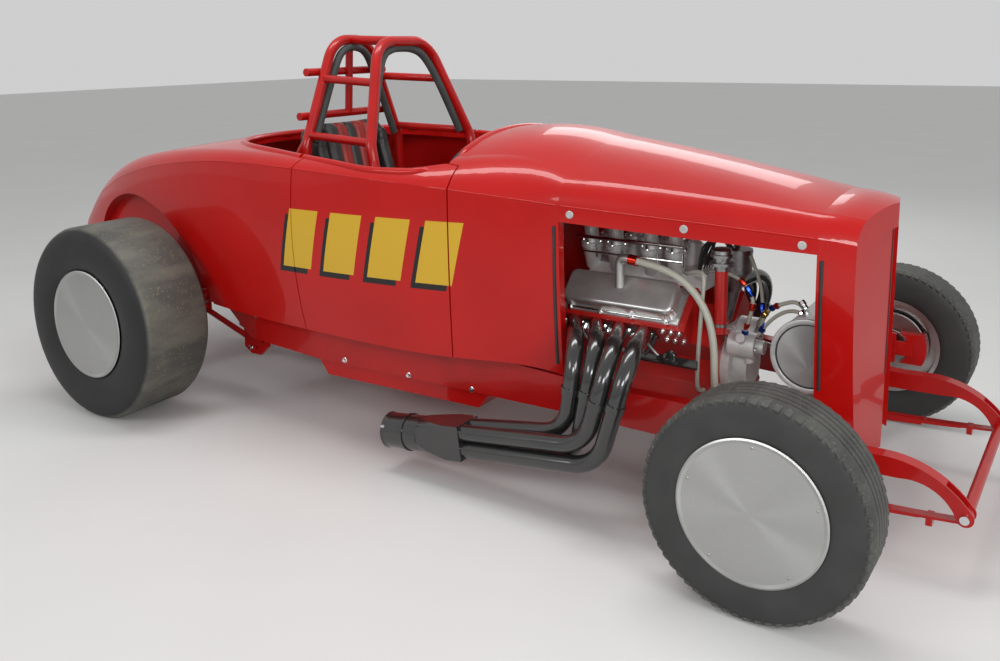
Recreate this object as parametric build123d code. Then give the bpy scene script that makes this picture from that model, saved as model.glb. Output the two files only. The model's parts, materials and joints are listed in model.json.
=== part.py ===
from build123d import *
from math import hypot, radians, tan
import os

# A street rod roadster on open wheels: boxed ladder frame, tub with real doors and deck lid,
# centre seat in a roll cage, open engine bay, dropped beam axle on leaf springs, wide rear slicks.
# X points forward, Y to the car's left, Z up, in millimetres. The origin is on the floor below the
# middle of the car's length. A station is a distance along X from the front axle, negative rearwards.

# Driving dimensions
wheelbase = 2800.0
rear_overhang = 850.0        # rear axle to the tail
eye_reach = 450.0            # front axle to the front spring eyes
eye_radius = 24.0
panel_gap = 5.0              # round doors and deck lid
running_clearance = 0.1      # radial, pins and spindles in their bores

front_tyre_radius = 315.0
front_tyre_width = 177.0
front_tyre_outer_y = 907.0
front_bead_radius = 190.0
front_disc_radius = 207.0
rear_tyre_radius = 408.0
rear_tyre_width = 330.0
rear_tyre_outer_y = 1000.0
rear_bead_radius = 212.0
rear_disc_radius = 228.0

wall = 35.0                  # whole thickness of body sides and doors
sheet = 6.0                  # hood, nose and pans
hood_seam_station = -830.0
nose_seam_station = -12.0
firewall_station = -1100.0
door_front_station = -1215.0
door_rear_station = -1905.0
door_rear_y = 652.0          # body half width at that seam
jamb_bevel = 18.0            # degrees, rear edge of each door
lid_half_width = 330.0
lid_bevel = 24.0             # degrees, rear edge of the deck lid

rail_width = 50.0
rail_top_z = 380.0
body_riser = 62.0            # floor above the rail tops

front_axle_x = (wheelbase + rear_overhang - eye_reach - eye_radius) / 2
rear_station = -wheelbase
tail_station = rear_station - rear_overhang
lid_front_station = rear_station + 80
lid_rear_station = rear_station - 530


def x_at(station):
    """Frame X of a station."""
    return front_axle_x + station


def block(s0, s1, y0, y1, z0, z1):
    """Box between two corners, X as stations."""
    return Pos((x_at(s0) + x_at(s1)) / 2, (y0 + y1) / 2, (z0 + z1) / 2) * Box(
        abs(s1 - s0), abs(y1 - y0), abs(z1 - z0)
    )


def rod(start, end, radius):
    """Round bar between two points given as (station, y, z)."""
    a = Vector(x_at(start[0]), start[1], start[2])
    b = Vector(x_at(end[0]), end[1], end[2])
    along = b - a
    base = Plane(origin=a, z_dir=along)
    return base * Cylinder(radius, along.length, align=(Align.CENTER, Align.CENTER, Align.MIN))


def bent_tube(points, radius, bend):
    """Round tube along runs and arcs through (station, y, z) points."""
    path = FilletPolyline(*[(x_at(p[0]), p[1], p[2]) for p in points], radius=bend)
    return sweep(Plane(origin=path @ 0, z_dir=path % 0) * Circle(radius), path=path)


def other_side(shape):
    """The same piece on the other side of the car."""
    return mirror(shape, about=Plane.XZ)


def side_prism(points, y0, y1, soften=0.0):
    """Outline in side view, as (station, z) pairs, carried from one Y to another."""
    outline = Polyline(*[(x_at(s), y0, z) for s, z in points], close=True)
    face = Face(Wire(outline.edges()))
    if soften:
        face = face.fillet_2d(soften, face.vertices())
    return extrude(face, amount=y1 - y0, dir=(0, 1, 0))


def plan_prism(points, z0, z1, soften=0.0):
    """Outline in plan view, as (station, y) pairs, carried from one Z to another."""
    outline = Polyline(*[(x_at(s), y, z0) for s, y in points], close=True)
    face = Face(Wire(outline.edges()))
    if soften:
        face = face.fillet_2d(soften, face.vertices())
    return extrude(face, amount=z1 - z0, dir=(0, 0, 1))


def turned(profile, y_centre, station, z):
    """Ring or disc turned about a wheel's axis, profile as (offset along Y, radius) pairs."""
    outline = Polyline(*[(offset, radius, 0) for offset, radius in profile], close=True)
    face = Face(Wire(outline.edges()))
    ring = revolve(face, axis=Axis.X)
    return Pos(x_at(station), y_centre, z) * Rot(0, 0, 90) * ring


def along_rail(station):
    """Y of the middle of the left rail."""
    table = rail_plan
    for (s0, y0), (s1, y1) in zip(table, table[1:]):
        if s1 <= station <= s0:
            return y0 + (y1 - y0) * (station - s0) / (s1 - s0)
    return table[-1][1]


pieces = {}


def keep(name, *shapes):
    """Store a node made of one or more solids."""
    solids = []
    for shape in shapes:
        solids.extend(shape.solids())
    pieces[name] = solids[0] if len(solids) == 1 else Compound(children=solids)


# Drive line heights used by the frame
shaft_z = 405.0
gearbox_radius = 115.0

# Ladder frame
# rail in plan: station, y of its middle
rail_plan = [
    (eye_reach + 70, 380), (100, 384), (-850, 420), (-1950, 470), (rear_station + 470, 470),
    (rear_station + 200, 430), (rear_station - 680, 400),
]
# rail in side view behind the horn: station, z
rail_side = [
    (eye_reach - 227, 342), (120, 339), (-80, 352), (-260, 372), (-420, rail_top_z),
    (rear_station + 470, rail_top_z), (rear_station + 200, 530), (rear_station - 100, 600),
    (rear_station - 400, 580), (rear_station - 680, 488), (rear_station - 680, 428),
    (rear_station - 400, 495), (rear_station - 60, 515), (rear_station + 200, 430),
    (rear_station + 420, 290), (-1950, 267), (-850, 262), (-300, 248), (-120, 284), (120, 280),
    (eye_reach - 178, 283),
]
# horn edges, each an arc: three (station, z) points
horn_low = [(eye_reach - 178, 283), (eye_reach - 78, 264), (eye_reach - 20, 190)]
horn_high = [(eye_reach + 17, 221), (eye_reach - 105, 317), (eye_reach - 227, 342)]
spring_width = 34.0
spring_side_clearance = 1.0
eye_z = 204.0
eye_pin_radius = 8.0

rail_band = plan_prism(
    [(s, y + rail_width / 2) for s, y in rail_plan]
    + [(s, y - rail_width / 2) for s, y in reversed(rail_plan)],
    100, 700,
)
eye_y = along_rail(eye_reach)
side_line = Polyline(*[(x_at(s), 300, z) for s, z in rail_side])
low_arc = ThreePointArc(*[(x_at(s), 300, z) for s, z in horn_low])
high_arc = ThreePointArc(*[(x_at(s), 300, z) for s, z in horn_high])
side_face = Face(Wire([*side_line.edges(), low_arc, Line(low_arc @ 1, high_arc @ 0), high_arc]))
rail = extrude(side_face, amount=260, dir=(0, 1, 0)) & rail_band
rail = rail + Pos(x_at(eye_reach), eye_y, eye_z) * Rot(90, 0, 0) * Cylinder(eye_radius, rail_width)
eye_slot = block(
    eye_reach - 55, eye_reach + 60,
    eye_y - spring_width / 2 - spring_side_clearance, eye_y + spring_width / 2 + spring_side_clearance,
    100, 400,
)
rail = rail - eye_slot
# rear coil spring and radius rod mounts hang below each rail
rod_front = (rear_station + 395, 222.0)    # station and z of the rod's front pin
lug_y = along_rail(rod_front[0])
lug_rear = rear_station + 320
lug_front = rear_station + 470
lug = side_prism(
    [(lug_rear, 345), (lug_rear, 215), (lug_rear + 40, 190), (lug_front - 50, 190), (lug_front, 235),
     (lug_front, 300)], lug_y - 40, lug_y - rail_width / 2)
lug = lug + side_prism(
    [(lug_rear, 375), (lug_rear, 320), (lug_front, 270), (lug_front, 300)], lug_y - 40, lug_y)
lug_hole_radius = 12.5
lug_hole = (rear_station + 438, 258.0)     # station and z of the spare hole
lug = lug - Pos(x_at(lug_hole[0]), lug_y, lug_hole[1]) * Rot(90, 0, 0) * Cylinder(lug_hole_radius, 200)
rod_pin_radius = 8.0
lug = lug - Pos(x_at(rod_front[0]), lug_y, rod_front[1]) * Rot(90, 0, 0) * Cylinder(rod_pin_radius, 200)
rail_left = rail + lug
rail_left = rail_left - Pos(x_at(eye_reach), eye_y, eye_z) * Rot(90, 0, 0) * Cylinder(eye_pin_radius, 100)
keep("rail_left", rail_left)
keep("rail_right", other_side(rail_left))

front_cross_z = 352.0
front_cross = block(-80, nose_seam_station, -420, 420, 336, front_cross_z)
middle_cross = block(-1180, -1120, -460, 460, 266, 340)
middle_cross = middle_cross - rod((-1100, 0, shaft_z), (-1200, 0, shaft_z), gearbox_radius)
seat_cross = block(-2060, -2000, -500, 500, 285, 360)
cross_radius = 30.0
rear_cross_ends = ((rear_station - 100, -420, 560), (rear_station - 100, 420, 560))
rear_cross = rod(*rear_cross_ends, cross_radius)
tail_cross = block(rear_station - 670, rear_station - 620, -420, 420, 440, 485)
inner_band = plan_prism(
    [(s, y - rail_width / 2) for s, y in rail_plan]
    + [(s, rail_width / 2 - y) for s, y in reversed(rail_plan)],
    100, 700,
)
keep("crossmembers", *[c & inner_band for c in (front_cross, middle_cross, seat_cross, rear_cross, tail_cross)])
spreader_radius = 17.0
spreader_end_y = eye_y - rail_width / 2
spreader = rod((eye_reach, -spreader_end_y, eye_z), (eye_reach, spreader_end_y, eye_z), spreader_radius)
keep("spreader_bar", spreader)

# Front springs, one under each horn
leaf_thickness = 8.0
spring_mid_z = 164.0                  # underside of the main leaf at the axle
rear_eye = (-430.0, 205.0)


def leaf(front, rear, mid_z, thickness, y):
    """One bowed leaf between two (station, z) ends, drawn by its underside."""
    low = ThreePointArc((x_at(front[0]), y, front[1]), (x_at(0), y, mid_z), (x_at(rear[0]), y, rear[1]))
    high = ThreePointArc(
        (x_at(front[0]), y, front[1] + thickness), (x_at(0), y, mid_z + thickness),
        (x_at(rear[0]), y, rear[1] + thickness))
    ends = [Line(low @ 0, high @ 0), Line(low @ 1, high @ 1)]
    return extrude(Face(Wire([low, ends[1], high, ends[0]])), amount=spring_width, dir=(0, 1, 0))


spring_y = eye_y - spring_width / 2
# leaves from the main one down: front (station, z), rear (station, z), underside z at the axle
leaves = [
    ((eye_reach, eye_z - 20), (rear_eye[0], rear_eye[1] - 18), spring_mid_z),
    ((eye_reach - 120, 172.5), (-330, 170.5), spring_mid_z - leaf_thickness + 0.5),
    ((200, 156), (-200, 156), spring_mid_z - 2 * leaf_thickness + 1),
]
spring = None
for front_end, rear_end, mid_z in leaves:
    layer = leaf(front_end, rear_end, mid_z, leaf_thickness, spring_y)
    spring = layer if spring is None else spring + layer
for station, z in ((eye_reach, eye_z), rear_eye):
    spring = spring + Pos(x_at(station), eye_y, z) * Rot(90, 0, 0) * Cylinder(20, spring_width)
    spring = spring - Pos(x_at(station), eye_y, z) * Rot(90, 0, 0) * Cylinder(eye_pin_radius, spring_width + 10)
clip = block(eye_reach - 102, eye_reach - 84, spring_y - 4, spring_y + spring_width + 4, 156, 186)
spring = spring + clip
keep("front_springs", spring, other_side(spring))
shackle = block(rear_eye[0] - 14, rear_eye[0] + 14, eye_y + 18, eye_y + 24, rear_eye[1] - 14, 262)
shackle = shackle + block(rear_eye[0] - 14, rear_eye[0] + 14, eye_y - 24, eye_y - 18, rear_eye[1] - 14, 262)
shackle = shackle - rail
shackle_pin = Pos(x_at(rear_eye[0]), eye_y, rear_eye[1]) * Rot(90, 0, 0) * Cylinder(eye_pin_radius, 64)
eye_bolt = Pos(x_at(eye_reach), eye_y + 4, eye_z) * Rot(90, 0, 0) * Cylinder(eye_pin_radius, rail_width + 8)
bolt_head_y = eye_y + rail_width / 2 + 5
eye_bolt = eye_bolt + Pos(x_at(eye_reach), bolt_head_y, eye_z) * Rot(90, 0, 0) * Cylinder(13, 10)
eye_bolt = eye_bolt - rail_left
keep("spring_pins", shackle + shackle_pin, other_side(shackle + shackle_pin), eye_bolt, other_side(eye_bolt))

# Front axle, dropped between the kingpins
kingpin_y = 690.0
kingpin_radius = 11.0
boss_radius = 23.0
boss_half = 34.0
beam_radius = 24.0
hub_z = front_tyre_radius
beam_z = spring_mid_z + leaf_thickness + beam_radius + 4
beam = bent_tube(
    [(0, -kingpin_y, hub_z), (0, -640, hub_z), (0, -560, beam_z), (0, 560, beam_z), (0, 640, hub_z),
     (0, kingpin_y, hub_z)], beam_radius, 55)
seat_pad = block(-45, 45, eye_y - 22, eye_y + 22, beam_z - beam_radius - 4, beam_z)
axle = beam + seat_pad + other_side(seat_pad)
for y in (-kingpin_y, kingpin_y):
    axle = axle + Pos(x_at(0), y, hub_z) * Cylinder(boss_radius, 2 * boss_half)
    axle = axle - Pos(x_at(0), y, hub_z) * Cylinder(kingpin_radius + running_clearance, 4 * boss_half)
keep("front_axle", axle - spring - other_side(spring))

# Knuckles: yoke, kingpin, spindle, steering arm and caliper
spindle_radius = 16.0
arm_length = 130.0
arm_y = kingpin_y                     # arms run straight back, so both wheels steer alike
link_z = 245.0
ball_radius = 8.0
spindle_end_y = 880.0
front_wheel_y = front_tyre_outer_y - front_tyre_width / 2
rotor_y = 778.0
rotor_radius = 128.0

lug_gap = 1.0
pin = Pos(x_at(0), kingpin_y, hub_z) * Cylinder(kingpin_radius, 2 * (boss_half + 16))
knuckle = pin
for side in (-1, 1):
    z = hub_z + side * (boss_half + lug_gap + 7)
    knuckle = knuckle + Pos(x_at(0), kingpin_y, z) * Cylinder(boss_radius, 14)
    knuckle = knuckle + block(-18, 18, kingpin_y, 735, z - 7, z + 7)
knuckle = knuckle + block(-28, 28, 722, 742, hub_z - 60, hub_z + 60)
knuckle = knuckle + Pos(x_at(0), (742 + 760) / 2, hub_z) * Rot(90, 0, 0) * Cylinder(28, 18)
knuckle = knuckle + Pos(x_at(0), (742 + spindle_end_y) / 2, hub_z) * Rot(90, 0, 0) * Cylinder(
    spindle_radius, spindle_end_y - 742)
arm = plan_prism(
    [(-22, 738), (-arm_length, arm_y + 15), (-arm_length - 15, arm_y), (-arm_length, arm_y - 15), (-30, 698),
     (16, 716), (16, 738)], hub_z - 57, hub_z - 43)
arm = arm - Pos(x_at(-arm_length), arm_y, link_z) * Cylinder(ball_radius + running_clearance, 80)
knuckle = knuckle + arm
caliper = Pos(x_at(0), rotor_y - 15, hub_z) * Rot(90, 0, 0) * Cylinder(rotor_radius + 14, 56)
caliper = caliper - Pos(x_at(0), rotor_y - 15, hub_z) * Rot(90, 0, 0) * Cylinder(74, 80)
caliper = caliper & block(40, 200, rotor_y - 44, rotor_y + 14, hub_z - 62, hub_z + 62)
caliper = caliper - Pos(x_at(0), rotor_y, hub_z) * Rot(90, 0, 0) * Cylinder(rotor_radius + 4, 18)
knuckle = knuckle + (caliper + block(15, 90, 726, 741, hub_z - 28, hub_z + 28))
keep("knuckle_left", knuckle)
keep("knuckle_right", other_side(knuckle))

# Tie rod and pitman arm ride at the same height as the steering arms' pins
link = rod((-arm_length, -arm_y + 14, link_z), (-arm_length, arm_y - 14, link_z), 10)
for y in (-arm_y, arm_y):
    link = link + Pos(x_at(-arm_length), y, link_z + 8) * Cylinder(ball_radius, 36)
    link = link + Pos(x_at(-arm_length), y, link_z) * Cylinder(15, 14)
pitman_y = 318.0
link = link + Pos(x_at(-arm_length), pitman_y, link_z) * Cylinder(15, 20)
link = link - Pos(x_at(-arm_length), pitman_y, link_z) * Cylinder(ball_radius + running_clearance, 60)
keep("tie_rod", link)

pitman = plan_prism([(14, pitman_y + 13), (14, pitman_y - 13), (-arm_length - 10, pitman_y - 11),
                     (-arm_length - 10, pitman_y + 11)], 268, 280)
pitman = pitman + Pos(x_at(-arm_length), pitman_y, 258) * Cylinder(ball_radius, 28)
pitman = pitman + Pos(x_at(0), pitman_y, 286) * Cylinder(11, 24)
keep("pitman_arm", pitman)
box = block(-40, 40, pitman_y - 32, 359, 298, 335)
box = box - Pos(x_at(0), pitman_y, 300) * Cylinder(11 + running_clearance, 40)
keep("steering_box", box + rod((-38, 326, 318), (-70, 326, 322), 12))

# Wheels and tyres. Profiles are (offset outward along Y, radius) pairs.


def tyre(radius, width, bead, shoulder, tread_drop):
    """Closed tyre ring with bulged walls and a rounded shoulder."""
    half = width / 2
    height = radius - bead
    outer = [
        (half * 0.78, bead), (half * 0.93, bead + height * 0.13), (half, bead + height * 0.45),
        (half * 0.97, radius - tread_drop * 1.4), (half - shoulder * 0.45, radius - tread_drop * 0.45),
        (half - shoulder, radius),
    ]
    inner = [(-offset, r) for offset, r in reversed(outer)]
    outline = Polyline(*outer, *inner, close=True)
    return revolve(Face(Wire(outline.edges())), axis=Axis.X)


def on_axle(shape, station, y, z):
    """Turn a wheel part made about X to lie across the car, outer side to the left."""
    return Pos(x_at(station), y, z) * Rot(0, 0, 90) * shape


front_ring = tyre(front_tyre_radius, front_tyre_width, front_bead_radius, 26, 14)
front_tyre = on_axle(front_ring, 0, front_wheel_y, hub_z)
keep("front_tyre_left", front_tyre)
keep("front_tyre_right", other_side(front_tyre))

front_half = front_tyre_width / 2
disc_seat = front_half * 0.975
front_rim = turned([
    (-front_half * 0.80, front_bead_radius), (-front_half * 0.80, front_bead_radius - 14),
    (-8, front_bead_radius - 16), (-8, 60), (rotor_y - front_wheel_y + 7, 60),
    (rotor_y - front_wheel_y + 7, rotor_radius), (rotor_y - front_wheel_y - 7, rotor_radius),
    (rotor_y - front_wheel_y - 7, 60), (rotor_y - front_wheel_y - 12, 60),
    (rotor_y - front_wheel_y - 12, spindle_radius + running_clearance),
    (66, spindle_radius + running_clearance), (66, 40), (4, 50), (4, front_bead_radius - 16),
    (front_half * 0.80, front_bead_radius - 8), (front_half * 0.80, front_bead_radius),
], front_wheel_y, 0, hub_z)
front_cover = turned([
    (disc_seat - 4, front_disc_radius - 3), (disc_seat, front_disc_radius),
    (disc_seat + 2.5, front_disc_radius - 5), (disc_seat - 1.5, front_disc_radius - 14),
    (disc_seat + 2.2, 20), (disc_seat + 2.2, 0.0), (disc_seat - 1, 0.0),
    (disc_seat - 5, front_bead_radius - 8), (front_half * 0.80, front_bead_radius - 8),
    (front_half * 0.80, front_bead_radius), (disc_seat - 4, front_bead_radius),
], front_wheel_y, 0, hub_z)
front_wheel = front_rim + front_cover
keep("front_wheel_left", front_wheel)
keep("front_wheel_right", other_side(front_wheel))

rear_z = rear_tyre_radius
rear_wheel_y = rear_tyre_outer_y - rear_tyre_width / 2
rear_half = rear_tyre_width / 2
slick_ring = tyre(rear_tyre_radius, rear_tyre_width, rear_bead_radius, 40, 22)
slick = on_axle(slick_ring, rear_station, rear_wheel_y, rear_z)
keep("rear_tyre_left", slick)
keep("rear_tyre_right", other_side(slick))
axle_end_radius = 30.0
axle_end_y = 900.0
rear_seat = rear_half * 0.90
rear_rim = turned([
    (-rear_half * 0.80, rear_bead_radius), (-rear_half * 0.80, rear_bead_radius - 15),
    (30, rear_bead_radius - 17),
    (30, 70), (-70, 70), (-70, 150), (-84, 150), (-84, axle_end_radius + running_clearance),
    (96, axle_end_radius + running_clearance), (96, 60), (44, 70), (44, rear_bead_radius - 17),
    (rear_half * 0.80, rear_bead_radius - 8), (rear_half * 0.80, rear_bead_radius),
], rear_wheel_y, rear_station, rear_z)
rear_cover = turned([
    (rear_seat + 3, rear_disc_radius - 3), (rear_seat + 7, rear_disc_radius),
    (rear_seat + 10, rear_disc_radius - 5),
    (rear_seat + 6, rear_disc_radius - 15), (rear_seat + 12, 20), (rear_seat + 12, 0.0), (rear_seat + 8, 0.0),
    (rear_seat + 2, rear_bead_radius - 8), (rear_half * 0.80, rear_bead_radius - 8),
    (rear_half * 0.80, rear_bead_radius), (rear_seat + 3, rear_bead_radius),
], rear_wheel_y, rear_station, rear_z)
rear_wheel = rear_rim + rear_cover
keep("rear_wheel_left", rear_wheel)
keep("rear_wheel_right", other_side(rear_wheel))

# Rear axle with its round centre housing, rods and coil units
tube_end_y = rear_wheel_y - 90
rear_axle = rod((rear_station, -tube_end_y, rear_z), (rear_station, tube_end_y, rear_z), 38)
for side in (-1, 1):
    rear_axle = rear_axle + rod(
        (rear_station, side * (tube_end_y - 2), rear_z), (rear_station, side * axle_end_y, rear_z),
        axle_end_radius)
    rear_axle = rear_axle + rod((rear_station, side * 640, rear_z), (rear_station, side * 655, rear_z), 62)
rear_axle = rear_axle + Pos(x_at(rear_station), 0, rear_z) * Rot(90, 0, 0) * Cylinder(125, 120)
rear_axle = rear_axle + Pos(x_at(rear_station), 0, rear_z) * Rot(90, 0, 0) * Cylinder(85, 220)
rear_axle = rear_axle + block(rear_station - 185, rear_station - 100, -75, 75, rear_z - 75, rear_z + 70)
rear_axle = rear_axle + rod((rear_station + 100, 0, rear_z), (rear_station + 150, 0, rear_z), 55)
rod_y = lug_y - 40 - 14
ear = block(rear_station - 8, rear_station + 46, rod_y - 22, rod_y - 14, rear_z - 95, rear_z)
ear = ear + block(rear_station - 8, rear_station + 46, rod_y + 14, rod_y + 22, rear_z - 95, rear_z)
coil_y = 340.0
coil_ear = block(rear_station - 105, rear_station, coil_y - 5, coil_y + 5, 350, 420)
for item in (ear, coil_ear):
    rear_axle = rear_axle + item + other_side(item)
keep("rear_axle", rear_axle)
rod_rear = (rear_station + 22, rear_z - 68)
radius_rod = rod((rod_front[0] - 6, rod_y, rod_front[1] + 2), (rod_rear[0] + 10, rod_y, rod_rear[1] - 2), 13)
for end_station, end_z in (rod_front, rod_rear):
    radius_rod = radius_rod + rod((end_station, rod_y - 14, end_z), (end_station, rod_y + 14, end_z), 20)
keep("radius_rods", radius_rod, other_side(radius_rod))
coil = rod((rear_station - 82, coil_y - 44, 385), (rear_station - 97, coil_y - 44, 535), 36)
coil = coil - rod(*rear_cross_ends, cross_radius + 0.5)
keep("coil_units", coil, other_side(coil))

# Body. Half widths (y) and heights (z) of the outer skin at each station.
#   station, sill_y, sill_z, side_y, side_z, belt_y, belt_z, crest_y, crest_z, top_z
body_sections = [
    (hood_seam_station, 441, 395, 466, 700, 474, 1000, 418, 1088, 1190),
    (-1250.0, 572, 427, 586, 740, 588, 1043, 440, 1140, 1216),
    (-1600.0, 606, 429, 638, 740, 634, 1064, 540, 1112, 1165),
    (-1950.0, 620, 438, 657, 720, 648, 1080, 570, 1118, 1150),
    (rear_station + 450, 606, 446, 648, 740, 640, 1082, 560, 1124, 1150),
    (rear_station + 50, 566, 465, 612, 750, 600, 1040, 530, 1092, 1112),
    (rear_station - 300, 515, 490, 560, 740, 540, 965, 470, 1030, 1052),
    (rear_station - 600, 455, 525, 495, 690, 470, 850, 400, 912, 935),
    (tail_station, 385, 560, 410, 620, 395, 690, 340, 725, 735),
]
hood_sections = [
    (nose_seam_station, 332, 898, 332, 918, 330, 946, 268, 1016, 1048),
    (-420.0, 402, 920, 402, 944, 400, 974, 345, 1058, 1128),
    (hood_seam_station, 474, 945, 475, 970, 474, 1000, 418, 1088, 1190),
]
nose_sections = [
    (nose_seam_station, 268, 300, 322, 700, 330, 946, 268, 1016, 1048),
    (95.0, 225, 205, 292, 690, 296, 930, 240, 1002, 1038),
    (210.0, 200, 190, 262, 660, 262, 900, 205, 968, 1000),
]


def arc_normal(a, b, c):
    """Outward unit normal, as a (y, z) pair, at the first of three points of an arc."""
    spread = 2 * (a[0] * (b[1] - c[1]) + b[0] * (c[1] - a[1]) + c[0] * (a[1] - b[1]))
    squares = [p[0] ** 2 + p[1] ** 2 for p in (a, b, c)]
    centre_y = (squares[0] * (b[1] - c[1]) + squares[1] * (c[1] - a[1]) + squares[2] * (a[1] - b[1])) / spread
    centre_z = (squares[0] * (c[0] - b[0]) + squares[1] * (a[0] - c[0]) + squares[2] * (b[0] - a[0])) / spread
    reach = hypot(a[0] - centre_y, a[1] - centre_z)
    sign = 1 if a[0] > centre_y else -1
    return sign * (a[0] - centre_y) / reach, sign * (a[1] - centre_z) / reach


def section_face(row, inset, drop):
    """Closed section of the skin, drawn in by the inset and carried straight down by the drop."""
    station, sill_y, sill_z, side_y, side_z, belt_y, belt_z, crest_y, crest_z, top_z = row
    x = x_at(station)
    normal = arc_normal((sill_y, sill_z), (side_y, side_z), (belt_y, belt_z))
    sill = (sill_y - inset * normal[0], sill_z - inset * normal[1])
    foot = (sill[0], sill[1] - drop)
    side = (side_y - inset, side_z)
    belt = (belt_y - inset, belt_z - inset * 0.5)
    crest = (crest_y - inset * 0.8, crest_z - inset)
    reach = hypot(belt[0] - crest[0], belt[1] - crest[1])
    bulge = 0.12 * reach
    shoulder = (
        (belt[0] + crest[0]) / 2 + bulge * abs(crest[1] - belt[1]) / reach,
        (belt[1] + crest[1]) / 2 + bulge * abs(belt[0] - crest[0]) / reach,
    )

    def at(pair, side_sign):
        return Vector(x, side_sign * pair[0], pair[1])

    edges = [
        Line(at(foot, -1), at(foot, 1)),
        ThreePointArc(at(sill, 1), at(side, 1), at(belt, 1)),
        ThreePointArc(at(belt, 1), at(shoulder, 1), at(crest, 1)),
        ThreePointArc(at(crest, 1), Vector(x, 0, top_z - inset), at(crest, -1)),
        ThreePointArc(at(crest, -1), at(shoulder, -1), at(belt, -1)),
        ThreePointArc(at(belt, -1), at(side, -1), at(sill, -1)),
    ]
    if drop:
        edges = edges + [Line(at(foot, 1), at(sill, 1)), Line(at(sill, -1), at(foot, -1))]
    return Face(Wire(edges))


def skin_loft(rows, inset=0.0, drop=0.0, ruled=False):
    """Solid through the sections of a table."""
    return loft([section_face(row, inset, drop) for row in rows], ruled=ruled)


def moved_rows(rows, first, last):
    """The table with its first and last stations moved."""
    out = [list(row) for row in rows]
    out[0][0] += first
    out[-1][0] += last
    return out


skin = skin_loft(body_sections)
cavity = skin_loft(moved_rows(body_sections, 0, wall), wall, 120.0)
shell = skin - cavity

# cockpit opening in plan: station, y
cockpit_plan = [
    (-1300, 0), (-1290, 250), (-1258, 506), (-1380, 562), (-1570, 590), (-1950, 562),
    (rear_station + 550, 500), (rear_station + 350, 390), (rear_station + 240, 230), (rear_station + 205, 0),
]
cockpit = plan_prism(cockpit_plan + [(s, -y) for s, y in reversed(cockpit_plan[1:-1])], 800, 1500)
shell = shell - cockpit

# wheel arch in side view


def arch_prism(grow, y0, y1):
    """The wheel opening's outline carried across the body side, grown outward by a wall."""
    g = grow
    hub_x = x_at(rear_station)
    front_foot = (hub_x + 375 + g, y0, 330)
    front_low = (hub_x + 255 + g, y0, 640)
    front_high = (hub_x - 70, y0, 862 + g)
    rear_high = (hub_x - 430, y0, 832 + g)
    rear_low = (hub_x - 600 - g, y0, 560)
    rear_foot = (hub_x - 610 - g, y0, 330)
    edges = [
        Line(front_foot, front_low),
        ThreePointArc(front_low, (hub_x + 128 + 0.7 * g, y0, 775 + 0.7 * g), front_high),
        ThreePointArc(front_high, (hub_x - 260, y0, 880 + g), rear_high),
        ThreePointArc(rear_high, (hub_x - 545 - 0.7 * g, y0, 730 + 0.7 * g), rear_low),
        Line(rear_low, rear_foot),
        Line(rear_foot, front_foot),
    ]
    return extrude(Face(Wire(edges)), amount=y1 - y0, dir=(0, 1, 0))


tub_y = 468.0
arch_cut = arch_prism(sheet, tub_y - sheet, 800)
tub = (arch_prism(sheet, tub_y - sheet, 800) - arch_prism(0, tub_y, 810)) & skin
axle_slot = block(rear_station - 80, rear_station + 80, 400, 560, 300, 490)
tub = tub - axle_slot - rail_left
rear_region = block(door_rear_station - panel_gap / 2, tail_station - 20, -900, 900, 100, 1500)
rear_region = rear_region + block(door_rear_station + 100, door_rear_station - 50, -900, 900, 100, 1500)
rear_body = (shell & rear_region) - arch_cut - other_side(arch_cut)


def door_region(gap):
    """Space of the left door, wider by a gap on its edges, its rear edge bevelled."""
    front = door_front_station - panel_gap / 2 + gap
    rear = door_rear_station + panel_gap / 2 - gap
    lean = tan(radians(jamb_bevel))
    inner_y = 430
    outer_y = 760
    return plan_prism(
        [(front, inner_y), (front, outer_y), (rear - (outer_y - door_rear_y) * lean, outer_y),
         (rear + (door_rear_y - inner_y) * lean, inner_y)],
        300, 1300)


cowl_lip = block(door_front_station + panel_gap / 2, -1345, -506, 506, 1000, 1500)
door_space = door_region(panel_gap)
rear_body = rear_body - door_space - other_side(door_space)
door = (shell & door_region(0)) - block(door_front_station + 10, -1350, -511, 511, 995, 1500)
keep("door_left", door)
keep("door_right", other_side(door))


def lid_region(gap):
    """Space of the deck lid, wider by a gap, its rear edge bevelled."""
    front = lid_front_station + gap
    rear = lid_rear_station - gap
    lean = tan(radians(lid_bevel))
    return side_prism(
        [(front, 1300), (front, 900), (rear + 300 * lean, 700), (rear - 300 * lean, 1300)],
        -lid_half_width - gap, lid_half_width + gap)


deck_lid = shell & lid_region(0)
keep("deck_lid", deck_lid)
rear_body = rear_body - lid_region(panel_gap)
keep("rear_body", rear_body)
keep("wheel_tubs", tub, other_side(tub))

cowl = (shell & block(hood_seam_station, door_front_station + panel_gap / 2, -900, 900, 100, 1500))
lip = shell & cowl_lip
hood_underside = skin_loft(hood_sections, sheet, 80)
ledge = (hood_underside - skin_loft(hood_sections, sheet + 6, 140)) & block(
    hood_seam_station, hood_seam_station + 22, -900, 900, 960, 1300)
cowl = cowl + lip + ledge
keep("cowl", cowl)

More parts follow.
